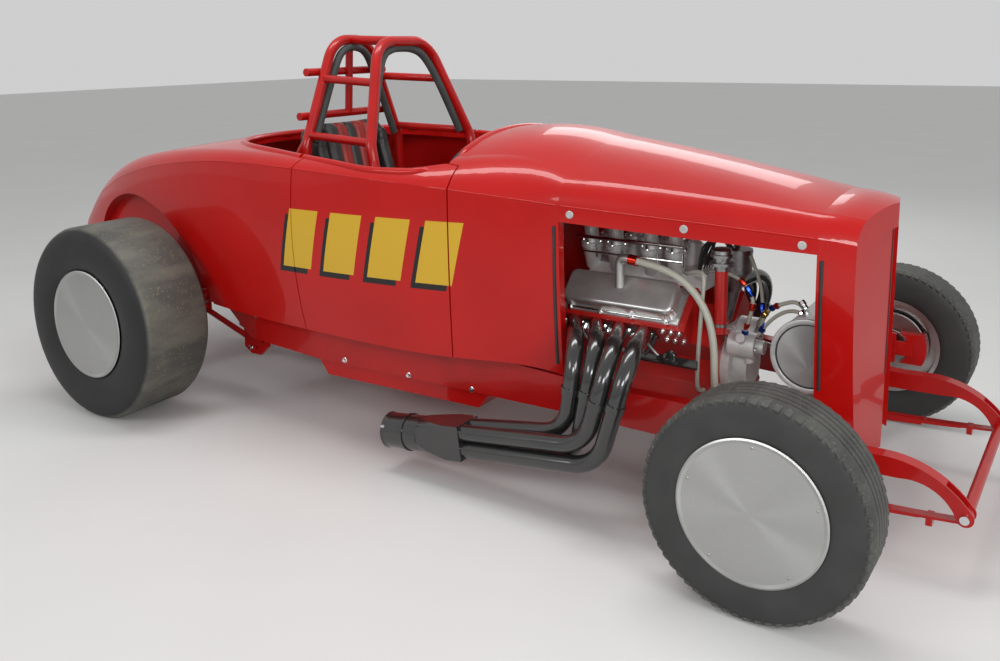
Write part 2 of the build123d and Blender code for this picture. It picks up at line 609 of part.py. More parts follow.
# Floor, with a tunnel over the gearbox and drive tube, and sills below the doors
floor_z = rail_top_z + body_riser
slab = block(firewall_station, rear_station + 475, -700, 700, floor_z, floor_z + 6)
tunnel_z = 470.0
tunnel_end = -1560.0
shaft_tunnel_z = 440.0
tunnel_outer = block(firewall_station, tunnel_end, -150, 150, floor_z, tunnel_z)
tunnel_outer = tunnel_outer + rod((firewall_station, 0, 430), (tunnel_end, 0, 430), 150)
tunnel_outer = tunnel_outer + rod((tunnel_end, 0, 430), (rear_station + 260, 0, 430), 72)
tunnel_inner = block(firewall_station + 5, tunnel_end + 6, -144, 144, 100, tunnel_z) + rod(
    (firewall_station + 5, 0, 430), (tunnel_end + 6, 0, 430), 144) + block(
    tunnel_end + 10, rear_station + 255, -66, 66, 100, shaft_tunnel_z - 10) + rod(
    (tunnel_end + 10, 0, 430), (rear_station + 255, 0, 430), 66)
tunnel_outer = tunnel_outer & block(firewall_station, rear_station + 260, -700, 700, floor_z, 800)
floor = ((slab + tunnel_outer) - tunnel_inner) & cavity
# inside the doors the floor stops a gap short of them and turns up into a threshold
door_zone = block(door_front_station + panel_gap, door_rear_station - panel_gap, -900, 900, 300, 700)
threshold_line = skin_loft(moved_rows(body_sections, 0, wall), wall + panel_gap, 120.0)
threshold_inner = skin_loft(moved_rows(body_sections, 0, wall), wall + panel_gap + 28, 120.0)
threshold = (threshold_line - threshold_inner) & door_zone & block(
    firewall_station, rear_station + 475, -900, 900, floor_z, floor_z + 45)
riser = rail_band & block(firewall_station - 10, rear_station + 480, 300, 560, rail_top_z, floor_z)
cowl_strip = rail_band & side_prism(
    [(hood_seam_station, rail_top_z), (hood_seam_station, 391), (firewall_station - 10, 411),
     (firewall_station - 10, rail_top_z)], 300, 560)
riser = riser + cowl_strip
floor = (floor - (door_zone - threshold_line)) + threshold + riser + other_side(riser)
keep("floor_pan", floor)

firewall = (cavity & block(firewall_station, firewall_station + 6, -900, 900, floor_z + 6, 1300)) - (
    block(firewall_station - 5, firewall_station + 10, -150, 150, 100, 470)
    + rod((firewall_station - 5, 0, 430), (firewall_station + 10, 0, 430), 150))
keep("firewall", firewall - tunnel_inner)
dash_station = door_front_station + 9
dash = cavity & block(dash_station, dash_station + 8, -900, 900, 985, 1300)
keep("dash", dash)

# Hood top and nose
keep("hood_top", skin_loft(hood_sections) - hood_underside)

nose_corner = (100.0, 270.0)
nose_peak = 150.0


def vee(setback, depth):
    """Slab bent to the nose's V in plan, set back from its front and as deep as given."""
    slope = (nose_peak - nose_corner[0]) / nose_corner[1]
    y = 420.0
    tip = nose_peak - setback
    return plan_prism(
        [(tip, 0), (tip - slope * y, y), (tip - slope * y - depth, y), (tip - depth, 0),
         (tip - slope * y - depth, -y), (tip - slope * y, -y)], 100, 1200)


def grille_outline(grow):
    """Arched outline of the nose panel in front view, carried along X."""
    g = grow
    edges = [
        Line((x_at(-50), -178 - g, 150), (x_at(-50), 178 + g, 150)),
        Line((x_at(-50), 178 + g, 150), (x_at(-50), 238 + g, 640)),
        Line((x_at(-50), 238 + g, 640), (x_at(-50), 240 + g, 900 + g)),
        ThreePointArc((x_at(-50), 240 + g, 900 + g), (x_at(-50), 0, 945 + g), (x_at(-50), -240 - g, 900 + g)),
        Line((x_at(-50), -240 - g, 900 + g), (x_at(-50), -238 - g, 640)),
        Line((x_at(-50), -238 - g, 640), (x_at(-50), -178 - g, 150)),
    ]
    return extrude(Face(Wire(edges)), amount=400, dir=(1, 0, 0))


nose_outer = skin_loft(nose_sections) & vee(0, 400)
nose_inner = skin_loft(moved_rows(nose_sections, -40, 40), sheet, 160) & vee(14, 500)
nose_shell = nose_outer - nose_inner - grille_outline(0)
nose_shell = nose_shell - block(-60, nose_seam_station, -500, 500, 100, 1300)
keep("nose_shell", nose_shell)
nose_face = vee(14, 8) & grille_outline(8) & skin_loft(nose_sections, sheet, 0)
nose_face = nose_face & block(-50, 300, -400, 400, 196, 1100)
keep("nose_face", nose_face)

# Belly pan below the cockpit, its ends sloped
pan = plan_prism([(-1120, 430), (-2000, 466), (-2000, -466), (-1120, -430)], 190, 262) & side_prism(
    [(-1147, 262), (-1200, 195), (-1940, 195), (-1990, 262)], -500, 500)
pan_inner = plan_prism([(-1110, 425), (-2010, 461), (-2010, -461), (-1110, -425)], 190, 300) & side_prism(
    [(-1154, 262), (-1204, 200), (-1936, 200), (-1983, 262)], -500, 500)
keep("belly_pan", pan - pan_inner)

# Seat
seat_cushion = side_prism([(-1760, 500), (-1740, 560), (-2140, 540), (-2140, 500)], -195, 195)
seat_back = side_prism(
    [(-2140, 500), (-2075, 560), (-2230, 1200), (-2300, 1215), (-2330, 1180), (-2250, 500)], -200, 200)
side_wing = side_prism(
    [(-1790, floor_z + 6), (-1760, 600), (-2050, 640), (-2130, 980), (-2260, 1010), (-2300, floor_z + 6)],
    190, 232)
keep("seat", (seat_cushion + seat_back + side_wing + other_side(side_wing)) - tunnel_outer)

# Roll cage
cage_radius = 22.0
cage_foot_z = floor_z + 6
# left leg of each hoop, foot to crown: station, y, z. The front hoop leans back in one plane.
hoop_station = -2170.0
rear_hoop = [(hoop_station, 330, cage_foot_z), (hoop_station, 300, 1123), (hoop_station, 111, 1561)]
front_hoop = [(-1614, 365, cage_foot_z), (-1776.5, 335, 1140), (-1873, 163, 1551)]
rear_crown_bend = 130.0
front_crown_bend = 140.0
top_bar_radius = 20.0


def hoop(points, bend):
    """Hoop over both sides of the car, its crown bent round."""
    return bent_tube(points + [(s, -y, z) for s, y, z in reversed(points)], cage_radius, bend)


def hoop_at(points, z):
    """Point on the left leg of a hoop at a height."""
    for (s0, y0, z0), (s1, y1, z1) in zip(points, points[1:]):
        if z0 <= z <= z1:
            t = (z - z0) / (z1 - z0)
            return (s0 + (s1 - s0) * t, y0 + (y1 - y0) * t, z)
    return points[-1]


cage = hoop(rear_hoop, rear_crown_bend) + hoop(front_hoop, front_crown_bend)
cage = cage + rod((hoop_station, 0, 1561), (-1873, 0, 1551), top_bar_radius)
for z in (1150, 1385):
    bar = rod(hoop_at(rear_hoop, z + 12), hoop_at(front_hoop, z), 17)
    cage = cage + bar + other_side(bar)
for z, reach in ((1240, 300), (1425, 250)):
    cage = cage + rod((hoop_station - 35, -reach, z), (hoop_station - 35, reach, z), 17)
cage = cage + rod((hoop_station - 30, 0, 1240), (hoop_station - 10, 0, 1545), 17)
rear_brace = rod(hoop_at(rear_hoop, 1150), (rear_station + 240, 432, 490), 17)
cowl_brace = rod(hoop_at(front_hoop, 1120), (-1560, 430, cage_foot_z), 17)
for brace in (rear_brace, cowl_brace):
    cage = cage + brace + other_side(brace)
cage = cage & block(-1000, rear_station - 200, -700, 700, cage_foot_z, 1700)
keep("roll_cage", cage - rail_left - other_side(rail_left))

# Steering wheel and column
steer_hub = (-1560.0, 0.0, 985.0)
column_foot = (-1232.0, 0.0, 838.0)
steer_plane = Plane(origin=(x_at(steer_hub[0]), 0, steer_hub[2]),
                    z_dir=(steer_hub[0] - column_foot[0], 0, steer_hub[2] - column_foot[2]))
wheel_ring = steer_plane * Torus(150, 14)
wheel_hub = steer_plane * Pos(0, 0, -6) * Cylinder(26, 26)
steering_wheel = wheel_ring + wheel_hub
for turn in (90, 210, 330):
    steering_wheel = steering_wheel + steer_plane * Rot(0, 0, turn) * Pos(80, 0, 0) * Box(130, 24, 6)
shaft_radius = 11.0
steering_wheel = steering_wheel + steer_plane * Pos(0, 0, -60) * Cylinder(shaft_radius, 100)
keep("steering_wheel", steering_wheel)
column_length = hypot(steer_hub[0] - column_foot[0], steer_hub[2] - column_foot[2])
column_end = column_length + 26       # past its foot, into the hanger
column = steer_plane * Pos(0, 0, -(30 + column_end) / 2) * Cylinder(22, column_end - 30)
column = column - steer_plane * Pos(0, 0, -60) * Cylinder(shaft_radius + running_clearance, 120)
hanger = block(dash_station - 4, dash_station, -40, 40, 800, 1000)
keep("steering_column", column + hanger)

# Engine: V8 with bank geometry given from the crank line
engine_front = -385.0
engine_rear = -950.0
bank_deck = 240.0
head_height = 88.0
head_front = engine_front - 65
head_rear = engine_rear + 20


def bank(shape):
    """Lay a piece made upright about the crank line onto the left bank."""
    return Pos(0, 0, shaft_z) * Rot(-45, 0, 0) * shape


def bank_box(s0, s1, w0, w1, d0, d1):
    """Box on the left bank: along the car, across the bank, away from the crank."""
    return bank(block(s0, s1, w0, w1, d0, d1))


core = Plane.YZ * Polygon(
    (-130, -150), (130, -150), (150, -60), (150, 90), (-150, 90), (-150, -60), align=None)
core = Pos(x_at(engine_rear), 0, shaft_z) * extrude(core, amount=engine_front - engine_rear)
cylinders = bank_box(engine_front, engine_rear, -82, 82, 60, bank_deck)
engine = core + cylinders + other_side(cylinders)
bell = Plane(origin=(x_at(engine_rear), 0, shaft_z), z_dir=(-1, 0, 0)) * Cone(
    190, 125, 130, align=(Align.CENTER, Align.CENTER, Align.MIN))
gearbox = rod((engine_rear - 130, 0, shaft_z), (-1480, 0, shaft_z), gearbox_radius) + rod(
    (-1480, 0, shaft_z), (rear_station + 150, 0, shaft_z), 42)
keep("engine_block", engine)
keep("gearbox", bell + gearbox)
heads = bank_box(head_front, head_rear, -88, 88, bank_deck, bank_deck + head_height)
keep("cylinder_heads", heads, other_side(heads))
cover_front = head_front - 40
cover_rear = head_rear + 20
cover_z = bank_deck + head_height
cover = block(head_front - 24, head_rear + 10, -76, 72, cover_z, cover_z + 10)
cover_top = block(cover_front, cover_rear, -66, 62, cover_z + 10, cover_z + 68)
cover_top = fillet(cover_top.edges().filter_by(Axis.Z), 26)
cover_top = fillet(cover_top.faces().sort_by(Axis.Z)[-1].edges(), 12)
# sunk panels along the outer side of each cover: station of one end, station of the other
cover_panels = [(-540, -632), (-662, -754), (-784, -876)]
for start, end in cover_panels:
    cover_top = cover_top - block(start, end, 57, 70, cover_z + 20, cover_z + 48)
cover = bank(cover + cover_top)
keep("valve_covers", cover, other_side(cover))

valley = Pos(x_at(head_rear + 10), 0, shaft_z) * extrude(
    Plane.YZ * Polygon((-98, 262), (98, 262), (70, 318), (-70, 318), align=None),
    amount=head_front - head_rear - 20)
intake = valley
stack_stations = (-575.0, -672.0, -812.0, -915.0)
stack_y = 62.0
stack_foot_z = 700.0
# throttle body and ram tube, from the foot up: height, radius
stack_profile = [
    (0, 0), (0, 27), (26, 30), (60, 35), (84, 37), (84, 41), (90, 41), (90, 37), (97, 37), (97, 41),
    (103, 41), (103, 31), (119, 27), (205, 25), (216, 32), (219, 32), (219, 29), (205, 22), (119, 22), (119, 0),
]
stack = Face(Wire(Polyline(*[(radius, 0, height) for height, radius in stack_profile], close=True).edges()))
stack = revolve(stack, axis=Axis.Z)
for station in stack_stations:
    for side in (-1, 1):
        foot = Plane(origin=(x_at(station), side * stack_y, stack_foot_z), z_dir=(0, side * 22, 162))
        intake = intake + foot * stack
keep("intake", intake)

# Exhaust: four tubes a side into one open collector
port_radius = 28.5
tube_y = 685.0
inner_tube_y = 625.0
# tube routes: bend radius, then (station, y, z) from port to collector
tube_routes = [
    (130, (-610, 255, 543), (-455, tube_y, 600), (-566, tube_y, 217), (-1100, tube_y, 151)),
    (130, (-705, 255, 543), (-520, tube_y, 598), (-612, tube_y, 276), (-1100, tube_y, 211)),
    (120, (-800, 255, 543), (-603, inner_tube_y, 590), (-676, inner_tube_y, 205), (-1100, inner_tube_y, 151)),
    (120, (-890, 255, 543), (-676, inner_tube_y, 585), (-714, inner_tube_y, 279), (-1100, inner_tube_y, 213)),
]
collar_z = 428.0
exhaust = None
for bend, *route in tube_routes:
    tube = bent_tube(route, port_radius, bend)
    high = Vector(*route[1])
    low = Vector(*route[2])
    middle = high + (low - high) * ((high.Z - collar_z) / (high.Z - low.Z))
    half_length = (low - high).normalized() * 12
    collar = rod(tuple(middle - half_length), tuple(middle + half_length), port_radius + 4)
    tube = tube + collar
    exhaust = tube if exhaust is None else exhaust + tube
flange = bank_box(-560, -925, 88, 98, bank_deck + 14, bank_deck + 64)
exhaust = exhaust + flange
collector_y = 655.0
collector_start = (-1085.0, 181.0)    # station and z of its mouth
collector_end = (-1441.0, 134.0)
collector_radius = 64.0
collector_wall = 4.0
collector_fall = (collector_start[1] - collector_end[1]) / (collector_start[0] - collector_end[0])
merge = Plane(
    origin=(x_at(collector_start[0]), collector_y, collector_start[1]), z_dir=(-1, 0, -collector_fall))
merge_size = 124.0
merge_length = 215.0
taper_start = 60.0
box_part = merge * Pos(0, 0, merge_length / 2) * Box(merge_size, merge_size, merge_length)
lower_end = (Align.CENTER, Align.CENTER, Align.MIN)
cone_part = merge * Pos(0, 0, taper_start) * Cone(
    merge_size * 0.72, collector_radius - 4, merge_length - taper_start, align=lower_end)
square_part = merge * Pos(0, 0, taper_start / 2) * Box(merge_size, merge_size, taper_start)
box_part = box_part & (cone_part + square_part)
full_length = collector_start[0] - collector_end[0]
collector = box_part + merge * Pos(0, 0, (merge_length - 20 + full_length) / 2) * Cylinder(
    collector_radius, full_length - merge_length + 20)
collector = collector + merge * Pos(0, 0, full_length - 95) * Cylinder(collector_radius + 4, 10)
collector = collector + merge * Pos(0, 0, full_length - 7) * Cone(
    collector_radius, collector_radius + 3, 14)
bore_length = full_length - merge_length - 5
collector = collector - merge * Pos(0, 0, full_length + 1 - bore_length / 2) * Cylinder(
    collector_radius - collector_wall, bore_length)
exhaust = (exhaust + collector) - heads - cylinders
keep("exhaust_left", exhaust)
keep("exhaust_right", other_side(exhaust))

# Front of the engine
front_drive = rod((engine_front, 0, shaft_z), (engine_front + 30, 0, shaft_z), 120)
front_drive = front_drive + rod((engine_front + 30, 0, shaft_z), (engine_front + 80, 0, shaft_z), 78)
upper_z = shaft_z + 110
front_drive = front_drive + rod((engine_front + 30, 0, upper_z), (engine_front + 95, 0, upper_z), 58)
front_drive = front_drive + block(engine_front, engine_front + 34, -75, 75, shaft_z, shaft_z + 140)
pump = rod((engine_front + 30, -95, 500), (-262, -95, 500), 46) + rod((-262, -95, 500), (-236, -95, 500), 24)
pump = pump + rod((-305, -95, 500), (-305, -150, 540), 16) + rod((-300, -95, 500), (-285, -95, 440), 18)
front_drive = front_drive + pump
keep("front_drive", front_drive)

# Magneto standing on the block, its cap a bright can
magneto_foot = (-420.0, 0.0, 515.0)
magneto_cap = (-374.0, 0.0, 730.0)
magneto_length = hypot(magneto_cap[0] - magneto_foot[0], magneto_cap[2] - magneto_foot[2])
body_plane = Plane(
    origin=(x_at(magneto_foot[0]), 0, magneto_foot[2]),
    z_dir=(magneto_cap[0] - magneto_foot[0], 0, magneto_cap[2] - magneto_foot[2]))
can = body_plane * Cone(21, 24, magneto_length - 70, align=lower_end)
can = can + body_plane * Pos(0, 0, magneto_length - 72) * Cone(24, 40, 76, align=lower_end)
can = can + rod((magneto_cap[0], 0, magneto_cap[2]), (magneto_cap[0], 0, 815), 51)
keep("magneto", can - engine - front_drive)
neck = rod((-360, -195, 560), (-360, -195, 800), 22) + rod((-360, -195, 574), (-369, -70, 522), 13)
keep("filler_neck", neck - front_drive)
tank_y = 268.0
tank_centre = (-40.0, 555.0)
tank = rod((tank_centre[0], -tank_y, tank_centre[1]), (tank_centre[0], tank_y, tank_centre[1]), 118)
for side in (-1, 1):
    tank = tank + rod(
        (tank_centre[0], side * (tank_y + 2), tank_centre[1]),
        (tank_centre[0], side * (tank_y - 10), tank_centre[1]), 122)
for y in (-150, 150):
    tank = tank + block(-70, -10, y - 12, y + 12, front_cross_z, 460)
keep("fuel_tank", tank)

shaft = rod((firewall_station + 10, 330, 500), (-74, 326, 323), 10)
keep("steering_shaft", shaft)

os.makedirs("parts", exist_ok=True)
for name, shape in pieces.items():
    export_step(shape, f"parts/{name}.step")
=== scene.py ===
import bpy
import json
import math
from mathutils import Matrix, Vector


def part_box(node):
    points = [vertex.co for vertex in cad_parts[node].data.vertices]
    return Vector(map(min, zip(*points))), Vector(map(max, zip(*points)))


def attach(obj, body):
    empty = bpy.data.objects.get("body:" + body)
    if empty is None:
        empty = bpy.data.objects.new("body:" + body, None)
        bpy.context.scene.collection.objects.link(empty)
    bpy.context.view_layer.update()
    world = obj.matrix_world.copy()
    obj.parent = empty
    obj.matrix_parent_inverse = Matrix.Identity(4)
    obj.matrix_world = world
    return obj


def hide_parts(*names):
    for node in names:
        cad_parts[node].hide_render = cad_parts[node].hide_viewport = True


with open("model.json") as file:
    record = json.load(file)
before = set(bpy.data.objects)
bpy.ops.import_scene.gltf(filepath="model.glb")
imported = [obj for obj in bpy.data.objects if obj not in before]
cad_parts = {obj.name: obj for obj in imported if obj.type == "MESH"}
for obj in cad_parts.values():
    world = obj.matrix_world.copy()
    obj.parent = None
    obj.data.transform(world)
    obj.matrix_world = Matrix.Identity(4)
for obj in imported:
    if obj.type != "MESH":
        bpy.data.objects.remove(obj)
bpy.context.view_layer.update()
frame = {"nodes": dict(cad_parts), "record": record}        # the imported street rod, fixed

nodes = frame["nodes"]
print("frame loaded:", len(nodes), "nodes")

frontTyreLow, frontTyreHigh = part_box("front_tyre_left")
rearTyreLow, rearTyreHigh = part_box("rear_tyre_left")
frontAxle = (frontTyreLow + frontTyreHigh) / 2          # centre of the left front wheel
rearAxle = (rearTyreLow + rearTyreHigh) / 2
frontX, frontZ = frontAxle.x, frontAxle.z
rearX, rearZ = rearAxle.x, rearAxle.z
tankStation, tankZ, tankEndY = -0.04, 0.555, 0.2705
sides = ((-1, "right"), (1, "left"))        # sign of Y, and the word in names


def deselectAll():
    if bpy.context.object and bpy.context.object.mode != "OBJECT":
        bpy.ops.object.mode_set(mode="OBJECT")
    bpy.ops.object.select_all(action="DESELECT")


def activate(obj):
    deselectAll()
    obj.select_set(True)
    bpy.context.view_layer.objects.active = obj


def editMode():
    bpy.ops.object.mode_set(mode="EDIT")


def editAll():
    editMode()
    bpy.ops.mesh.select_all(action="SELECT")


def objectMode():
    bpy.ops.object.mode_set(mode="OBJECT")


def settle(obj):
    # place goes into the mesh, so patterns on Object coordinates stay put
    activate(obj)
    bpy.ops.object.transform_apply(location=True, rotation=True, scale=True)


def dress(obj, material, body="chassis", smooth=None):
    # last step of each piece: material and body
    settle(obj)
    obj.data.materials.clear()
    obj.data.materials.append(material)
    if smooth is not None:
        activate(obj)
        bpy.ops.object.shade_smooth_by_angle(angle=math.radians(smooth))
    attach(obj, body)


def joinPieces(parts, name):
    deselectAll()
    for part in parts:
        part.select_set(True)
    bpy.context.view_layer.objects.active = parts[0]
    bpy.ops.object.join()
    parts[0].name = name
    return parts[0]


def drawLine(name, points, close=False):
    # one vertex, extruded from point to point
    deselectAll()
    bpy.ops.mesh.primitive_plane_add(size=0.01, location=(0, 0, 0))
    obj = bpy.context.object
    obj.name = name
    editMode()
    bpy.ops.mesh.select_mode(type="VERT")
    bpy.ops.mesh.select_all(action="SELECT")
    bpy.ops.mesh.merge(type="CENTER")
    bpy.ops.transform.translate(value=points[0])
    for start, end in zip(points, points[1:]):
        move = Vector(end) - Vector(start)
        bpy.ops.mesh.extrude_region_move(TRANSFORM_OT_translate={"value": move})
    if close:
        objectMode()
        count = len(obj.data.vertices)
        for vertex in obj.data.vertices:
            vertex.select = vertex.index in (0, count - 1)
        editMode()
        bpy.ops.mesh.edge_face_add()
    objectMode()
    return obj


def spinLine(name, points, centre, axis, steps, close=False):
    # outline turned a full circle about an axis, with its seam merged
    obj = drawLine(name, points, close)
    editAll()
    bpy.ops.mesh.spin(steps=steps, angle=math.tau, center=centre, axis=axis)
    bpy.ops.mesh.select_all(action="SELECT")
    bpy.ops.mesh.remove_doubles(threshold=0.00002)
    bpy.ops.mesh.normals_make_consistent(inside=False)
    objectMode()
    return obj


def newObject(name, data):
    obj = bpy.data.objects.new(name, data)
    bpy.context.scene.collection.objects.link(obj)
    return obj


def pipe(name, points, radius, resolution, rings):
    # round tube on a smooth curve through a few control points
    deselectAll()
    data = bpy.data.curves.new(name, "CURVE")
    data.dimensions = "3D"
    spline = data.splines.new("NURBS")
    spline.points.add(len(points) - 1)
    for point, place in zip(spline.points, points):
        point.co = (*place, 1.0)
    spline.order_u = 3
    spline.use_endpoint_u = True
    data.resolution_u = resolution
    data.bevel_depth = radius
    data.bevel_resolution = rings
    data.use_fill_caps = True
    activate(newObject(name, data))
    bpy.ops.object.convert(target="MESH")
    return bpy.context.object


def roundBox(name, low, high, bevel=0.0, segments=2):
    deselectAll()
    low, high = Vector(low), Vector(high)
    bpy.ops.mesh.primitive_cube_add(size=1, location=(low + high) / 2)
    obj = bpy.context.object
    obj.name = name
    obj.scale = high - low
    settle(obj)
    if bevel:
        editAll()
        bpy.ops.mesh.bevel(offset=bevel, segments=segments, affect="EDGES")
        objectMode()
    return obj


def newGroup(name, inputs, outputs):
    # inputs: label and default, a number, a vector of three or a colour of four; outputs: label and kind
    tree = bpy.data.node_groups.new(name, "ShaderNodeTree")
    for label, value in inputs.items():
        kind = {1: "Float", 3: "Vector", 4: "Color"}[len(value) if isinstance(value, tuple) else 1]
        socket = tree.interface.new_socket(name=label, in_out="INPUT", socket_type=f"NodeSocket{kind}")
        socket.default_value = value
    for label, kind in outputs.items():
        tree.interface.new_socket(name=label, in_out="OUTPUT", socket_type=f"NodeSocket{kind}")
    return tree, tree.nodes.new("NodeGroupInput"), tree.nodes.new("NodeGroupOutput")


def addNode(tree, kind, inputs=None, **settings):
    node = tree.nodes.new(kind)
    for key, value in settings.items():
        setattr(node, key, value)
    for key, value in (inputs or {}).items():
        node.inputs[key].default_value = value
    return node


def wire(tree, *links):
    # each link: from node, its output, to node, its input
    for start, output, end, socket in links:
        tree.links.new(start.outputs[output], end.inputs[socket])


def maths(tree, operation, *values):
    # one maths node; each value is a number or a socket
    node = addNode(tree, "ShaderNodeMath", operation=operation)
    for socket, value in zip(node.inputs, values):
        if isinstance(value, float):
            socket.default_value = value
        else:
            tree.links.new(value, socket)
    return node.outputs["Value"]


def makeUnevenTone():
    # slow change between two tones, with a finer speckle on top
    tree, source, out = newGroup("unevenTone", {
        "Tone A": (0.5, 0.5, 0.5, 1), "Tone B": (0.4, 0.4, 0.4, 1), "Scale": 6.0, "Speckle": 0.2,
    }, {"Color": "Color"})
    coords = addNode(tree, "ShaderNodeTexCoord")
    slow = addNode(tree, "ShaderNodeTexNoise", {"Detail": 3})
    fine = addNode(tree, "ShaderNodeTexNoise", {"Scale": 240})
    blend = addNode(tree, "ShaderNodeMix")
    sharpen = addNode(tree, "ShaderNodeMapRange", {"From Min": 0.35, "From Max": 0.65})
    tones = addNode(tree, "ShaderNodeMix", data_type="RGBA")
    wire(tree, (coords, "Object", slow, "Vector"), (coords, "Object", fine, "Vector"),
        (source, "Scale", slow, "Scale"), (source, "Speckle", blend, "Factor"), (slow, "Fac", blend, "A"),
        (fine, "Fac", blend, "B"), (blend, "Result", sharpen, "Value"),
        (sharpen, "Result", tones, "Factor"), (source, "Tone A", tones, "A"),
        (source, "Tone B", tones, "B"), (tones, "Result", out, "Color"))
    return tree


def makeFineGrain():
    # small bumps and a matching roughness
    tree, source, out = newGroup("fineGrain", {
        "Scale": 300.0, "Height": 0.1, "Depth": 0.001, "Smooth": 0.3, "Rough": 0.4,
    }, {"Normal": "Vector", "Roughness": "Float"})
    coords = addNode(tree, "ShaderNodeTexCoord")
    noise = addNode(tree, "ShaderNodeTexNoise", {"Detail": 4})
    bump = addNode(tree, "ShaderNodeBump")
    spread = addNode(tree, "ShaderNodeMapRange")
    wire(tree, (coords, "Object", noise, "Vector"), (source, "Scale", noise, "Scale"),
        (noise, "Fac", bump, "Height"), (source, "Height", bump, "Strength"),
        (source, "Depth", bump, "Distance"), (bump, "Normal", out, "Normal"),
        (noise, "Fac", spread, "Value"), (source, "Smooth", spread, "To Min"),
        (source, "Rough", spread, "To Max"), (spread, "Result", out, "Roughness"))
    return tree


def makeRingsRound():
    # distance from a wheel's axle, and fine turned rings about it
    tree, source, out = newGroup("ringsRound", {
        "Centre": (0, 0, 0), "Rings": 700.0,
    }, {"Distance": "Float", "Ring": "Float"})
    coords = addNode(tree, "ShaderNodeTexCoord")
    offset = addNode(tree, "ShaderNodeVectorMath", operation="SUBTRACT")
    flatten = addNode(tree, "ShaderNodeVectorMath", {1: (1, 0, 1)}, operation="MULTIPLY")
    length = addNode(tree, "ShaderNodeVectorMath", operation="LENGTH")
    noise = addNode(tree, "ShaderNodeTexNoise", {"Detail": 3}, noise_dimensions="1D")
    wire(tree, (coords, "Object", offset, 0), (source, "Centre", offset, 1),
        (offset, "Vector", flatten, 0), (flatten, "Vector", length, 0), (length, "Value", noise, "W"),
        (source, "Rings", noise, "Scale"), (length, "Value", out, "Distance"), (noise, "Fac", out, "Ring"))
    return tree


unevenTone = makeUnevenTone()
fineGrain = makeFineGrain()
ringsRound = makeRingsRound()


def useGroup(tree, group, **values):
    node = addNode(tree, "ShaderNodeGroup", node_tree=group)
    for key, value in values.items():
        node.inputs[key.replace("_", " ")].default_value = value
    return node


def newMaterial(name, **settings):
    material = bpy.data.materials.new(name)
    material.use_nodes = True
    shader = material.node_tree.nodes["Principled BSDF"]
    for key, value in settings.items():
        shader.inputs[key.replace("_", " ")].default_value = value
    return material, material.node_tree, shader


def unevenColour(tree, toneA, toneB, scale):
    return useGroup(tree, unevenTone, Tone_A=(*toneA, 1), Tone_B=(*toneB, 1), Scale=scale).outputs["Color"]


def addGrain(tree, shader, scale, height, depth, smooth, rough):
    grain = useGroup(tree, fineGrain, Scale=scale, Height=height, Depth=depth, Smooth=smooth, Rough=rough)
    wire(tree, (grain, "Normal", shader, "Normal"), (grain, "Roughness", shader, "Roughness"))


def toneAndGrain(name, toneA, toneB, scale, grain, **settings):
    # most finishes: uneven tone in the colour, fine grain in gloss and relief
    material, tree, shader = newMaterial(name, **settings)
    tree.links.new(unevenColour(tree, toneA, toneB, scale), shader.inputs["Base Color"])
    addGrain(tree, shader, *grain)
    return material


# each finish: name, two tones, tone scale, grain (scale, height, depth, smooth, rough), shader settings
bodyPaint = [(0.44, 0.004, 0.003), (0.39, 0.003, 0.002), 3.0, (160, 0.05, 0.001, 0.30, 0.36)]
bodyGloss = {"Coat_Weight": 0.45, "Coat_Roughness": 0.04, "Specular_IOR_Level": 0.15}
bodyRed = toneAndGrain("bodyRed", *bodyPaint, **bodyGloss)
frameRed = toneAndGrain("frameRed", (0.42, 0.005, 0.004), (0.35, 0.004, 0.003), 9.0,
    (220, 0.10, 0.001, 0.30, 0.42), Coat_Weight=0.4, Coat_Roughness=0.08, Specular_IOR_Level=0.2)
engineRed = toneAndGrain("engineRed", (0.46, 0.008, 0.005), (0.36, 0.006, 0.004), 14.0,
    (260, 0.35, 0.001, 0.30, 0.50), Coat_Weight=0.3)
castAlloy = toneAndGrain("castAlloy", (0.52, 0.52, 0.50), (0.38, 0.38, 0.37), 22.0,
    (520, 0.35, 0.001, 0.34, 0.55), Metallic=0.9)
polishedAlloy = toneAndGrain("polishedAlloy", (0.72, 0.72, 0.70), (0.60, 0.60, 0.59), 16.0,
    (300, 0.05, 0.001, 0.10, 0.24), Metallic=1.0)
blastedAlloy = toneAndGrain("blastedAlloy", (0.72, 0.72, 0.70), (0.58, 0.58, 0.57), 24.0,
    (480, 0.30, 0.001, 0.36, 0.52), Metallic=0.3)
satinCover = toneAndGrain("satinCover", (0.62, 0.62, 0.60), (0.50, 0.50, 0.49), 14.0,
    (300, 0.08, 0.001, 0.24, 0.38), Metallic=0.75)
paleCap = toneAndGrain("paleCap", (0.50, 0.50, 0.49), (0.40, 0.40, 0.40), 60.0,
    (400, 0.15, 0.001, 0.30, 0.45), Metallic=0.35)
chrome = toneAndGrain("chrome", (0.80, 0.80, 0.80), (0.70, 0.71, 0.72), 10.0,
    (120, 0.02, 0.001, 0.04, 0.12), Metallic=1.0)
steel = toneAndGrain("steel", (0.40, 0.40, 0.40), (0.28, 0.28, 0.29), 30.0, (400, 0.15, 0.001, 0.28, 0.45),
    Metallic=1.0)
headerBlack = toneAndGrain("headerBlack", (0.012, 0.012, 0.013), (0.020, 0.019, 0.018), 12.0,
    (260, 0.06, 0.001, 0.12, 0.30), Coat_Weight=0.8, Coat_Roughness=0.05)
tyreBlack = toneAndGrain("tyreBlack", (0.030, 0.031, 0.031), (0.045, 0.046, 0.044), 18.0,
    (500, 0.25, 0.001, 0.42, 0.62))
rimBlack = toneAndGrain("rimBlack", (0.018, 0.018, 0.018), (0.026, 0.026, 0.026), 20.0,
    (600, 0.30, 0.001, 0.40, 0.60))
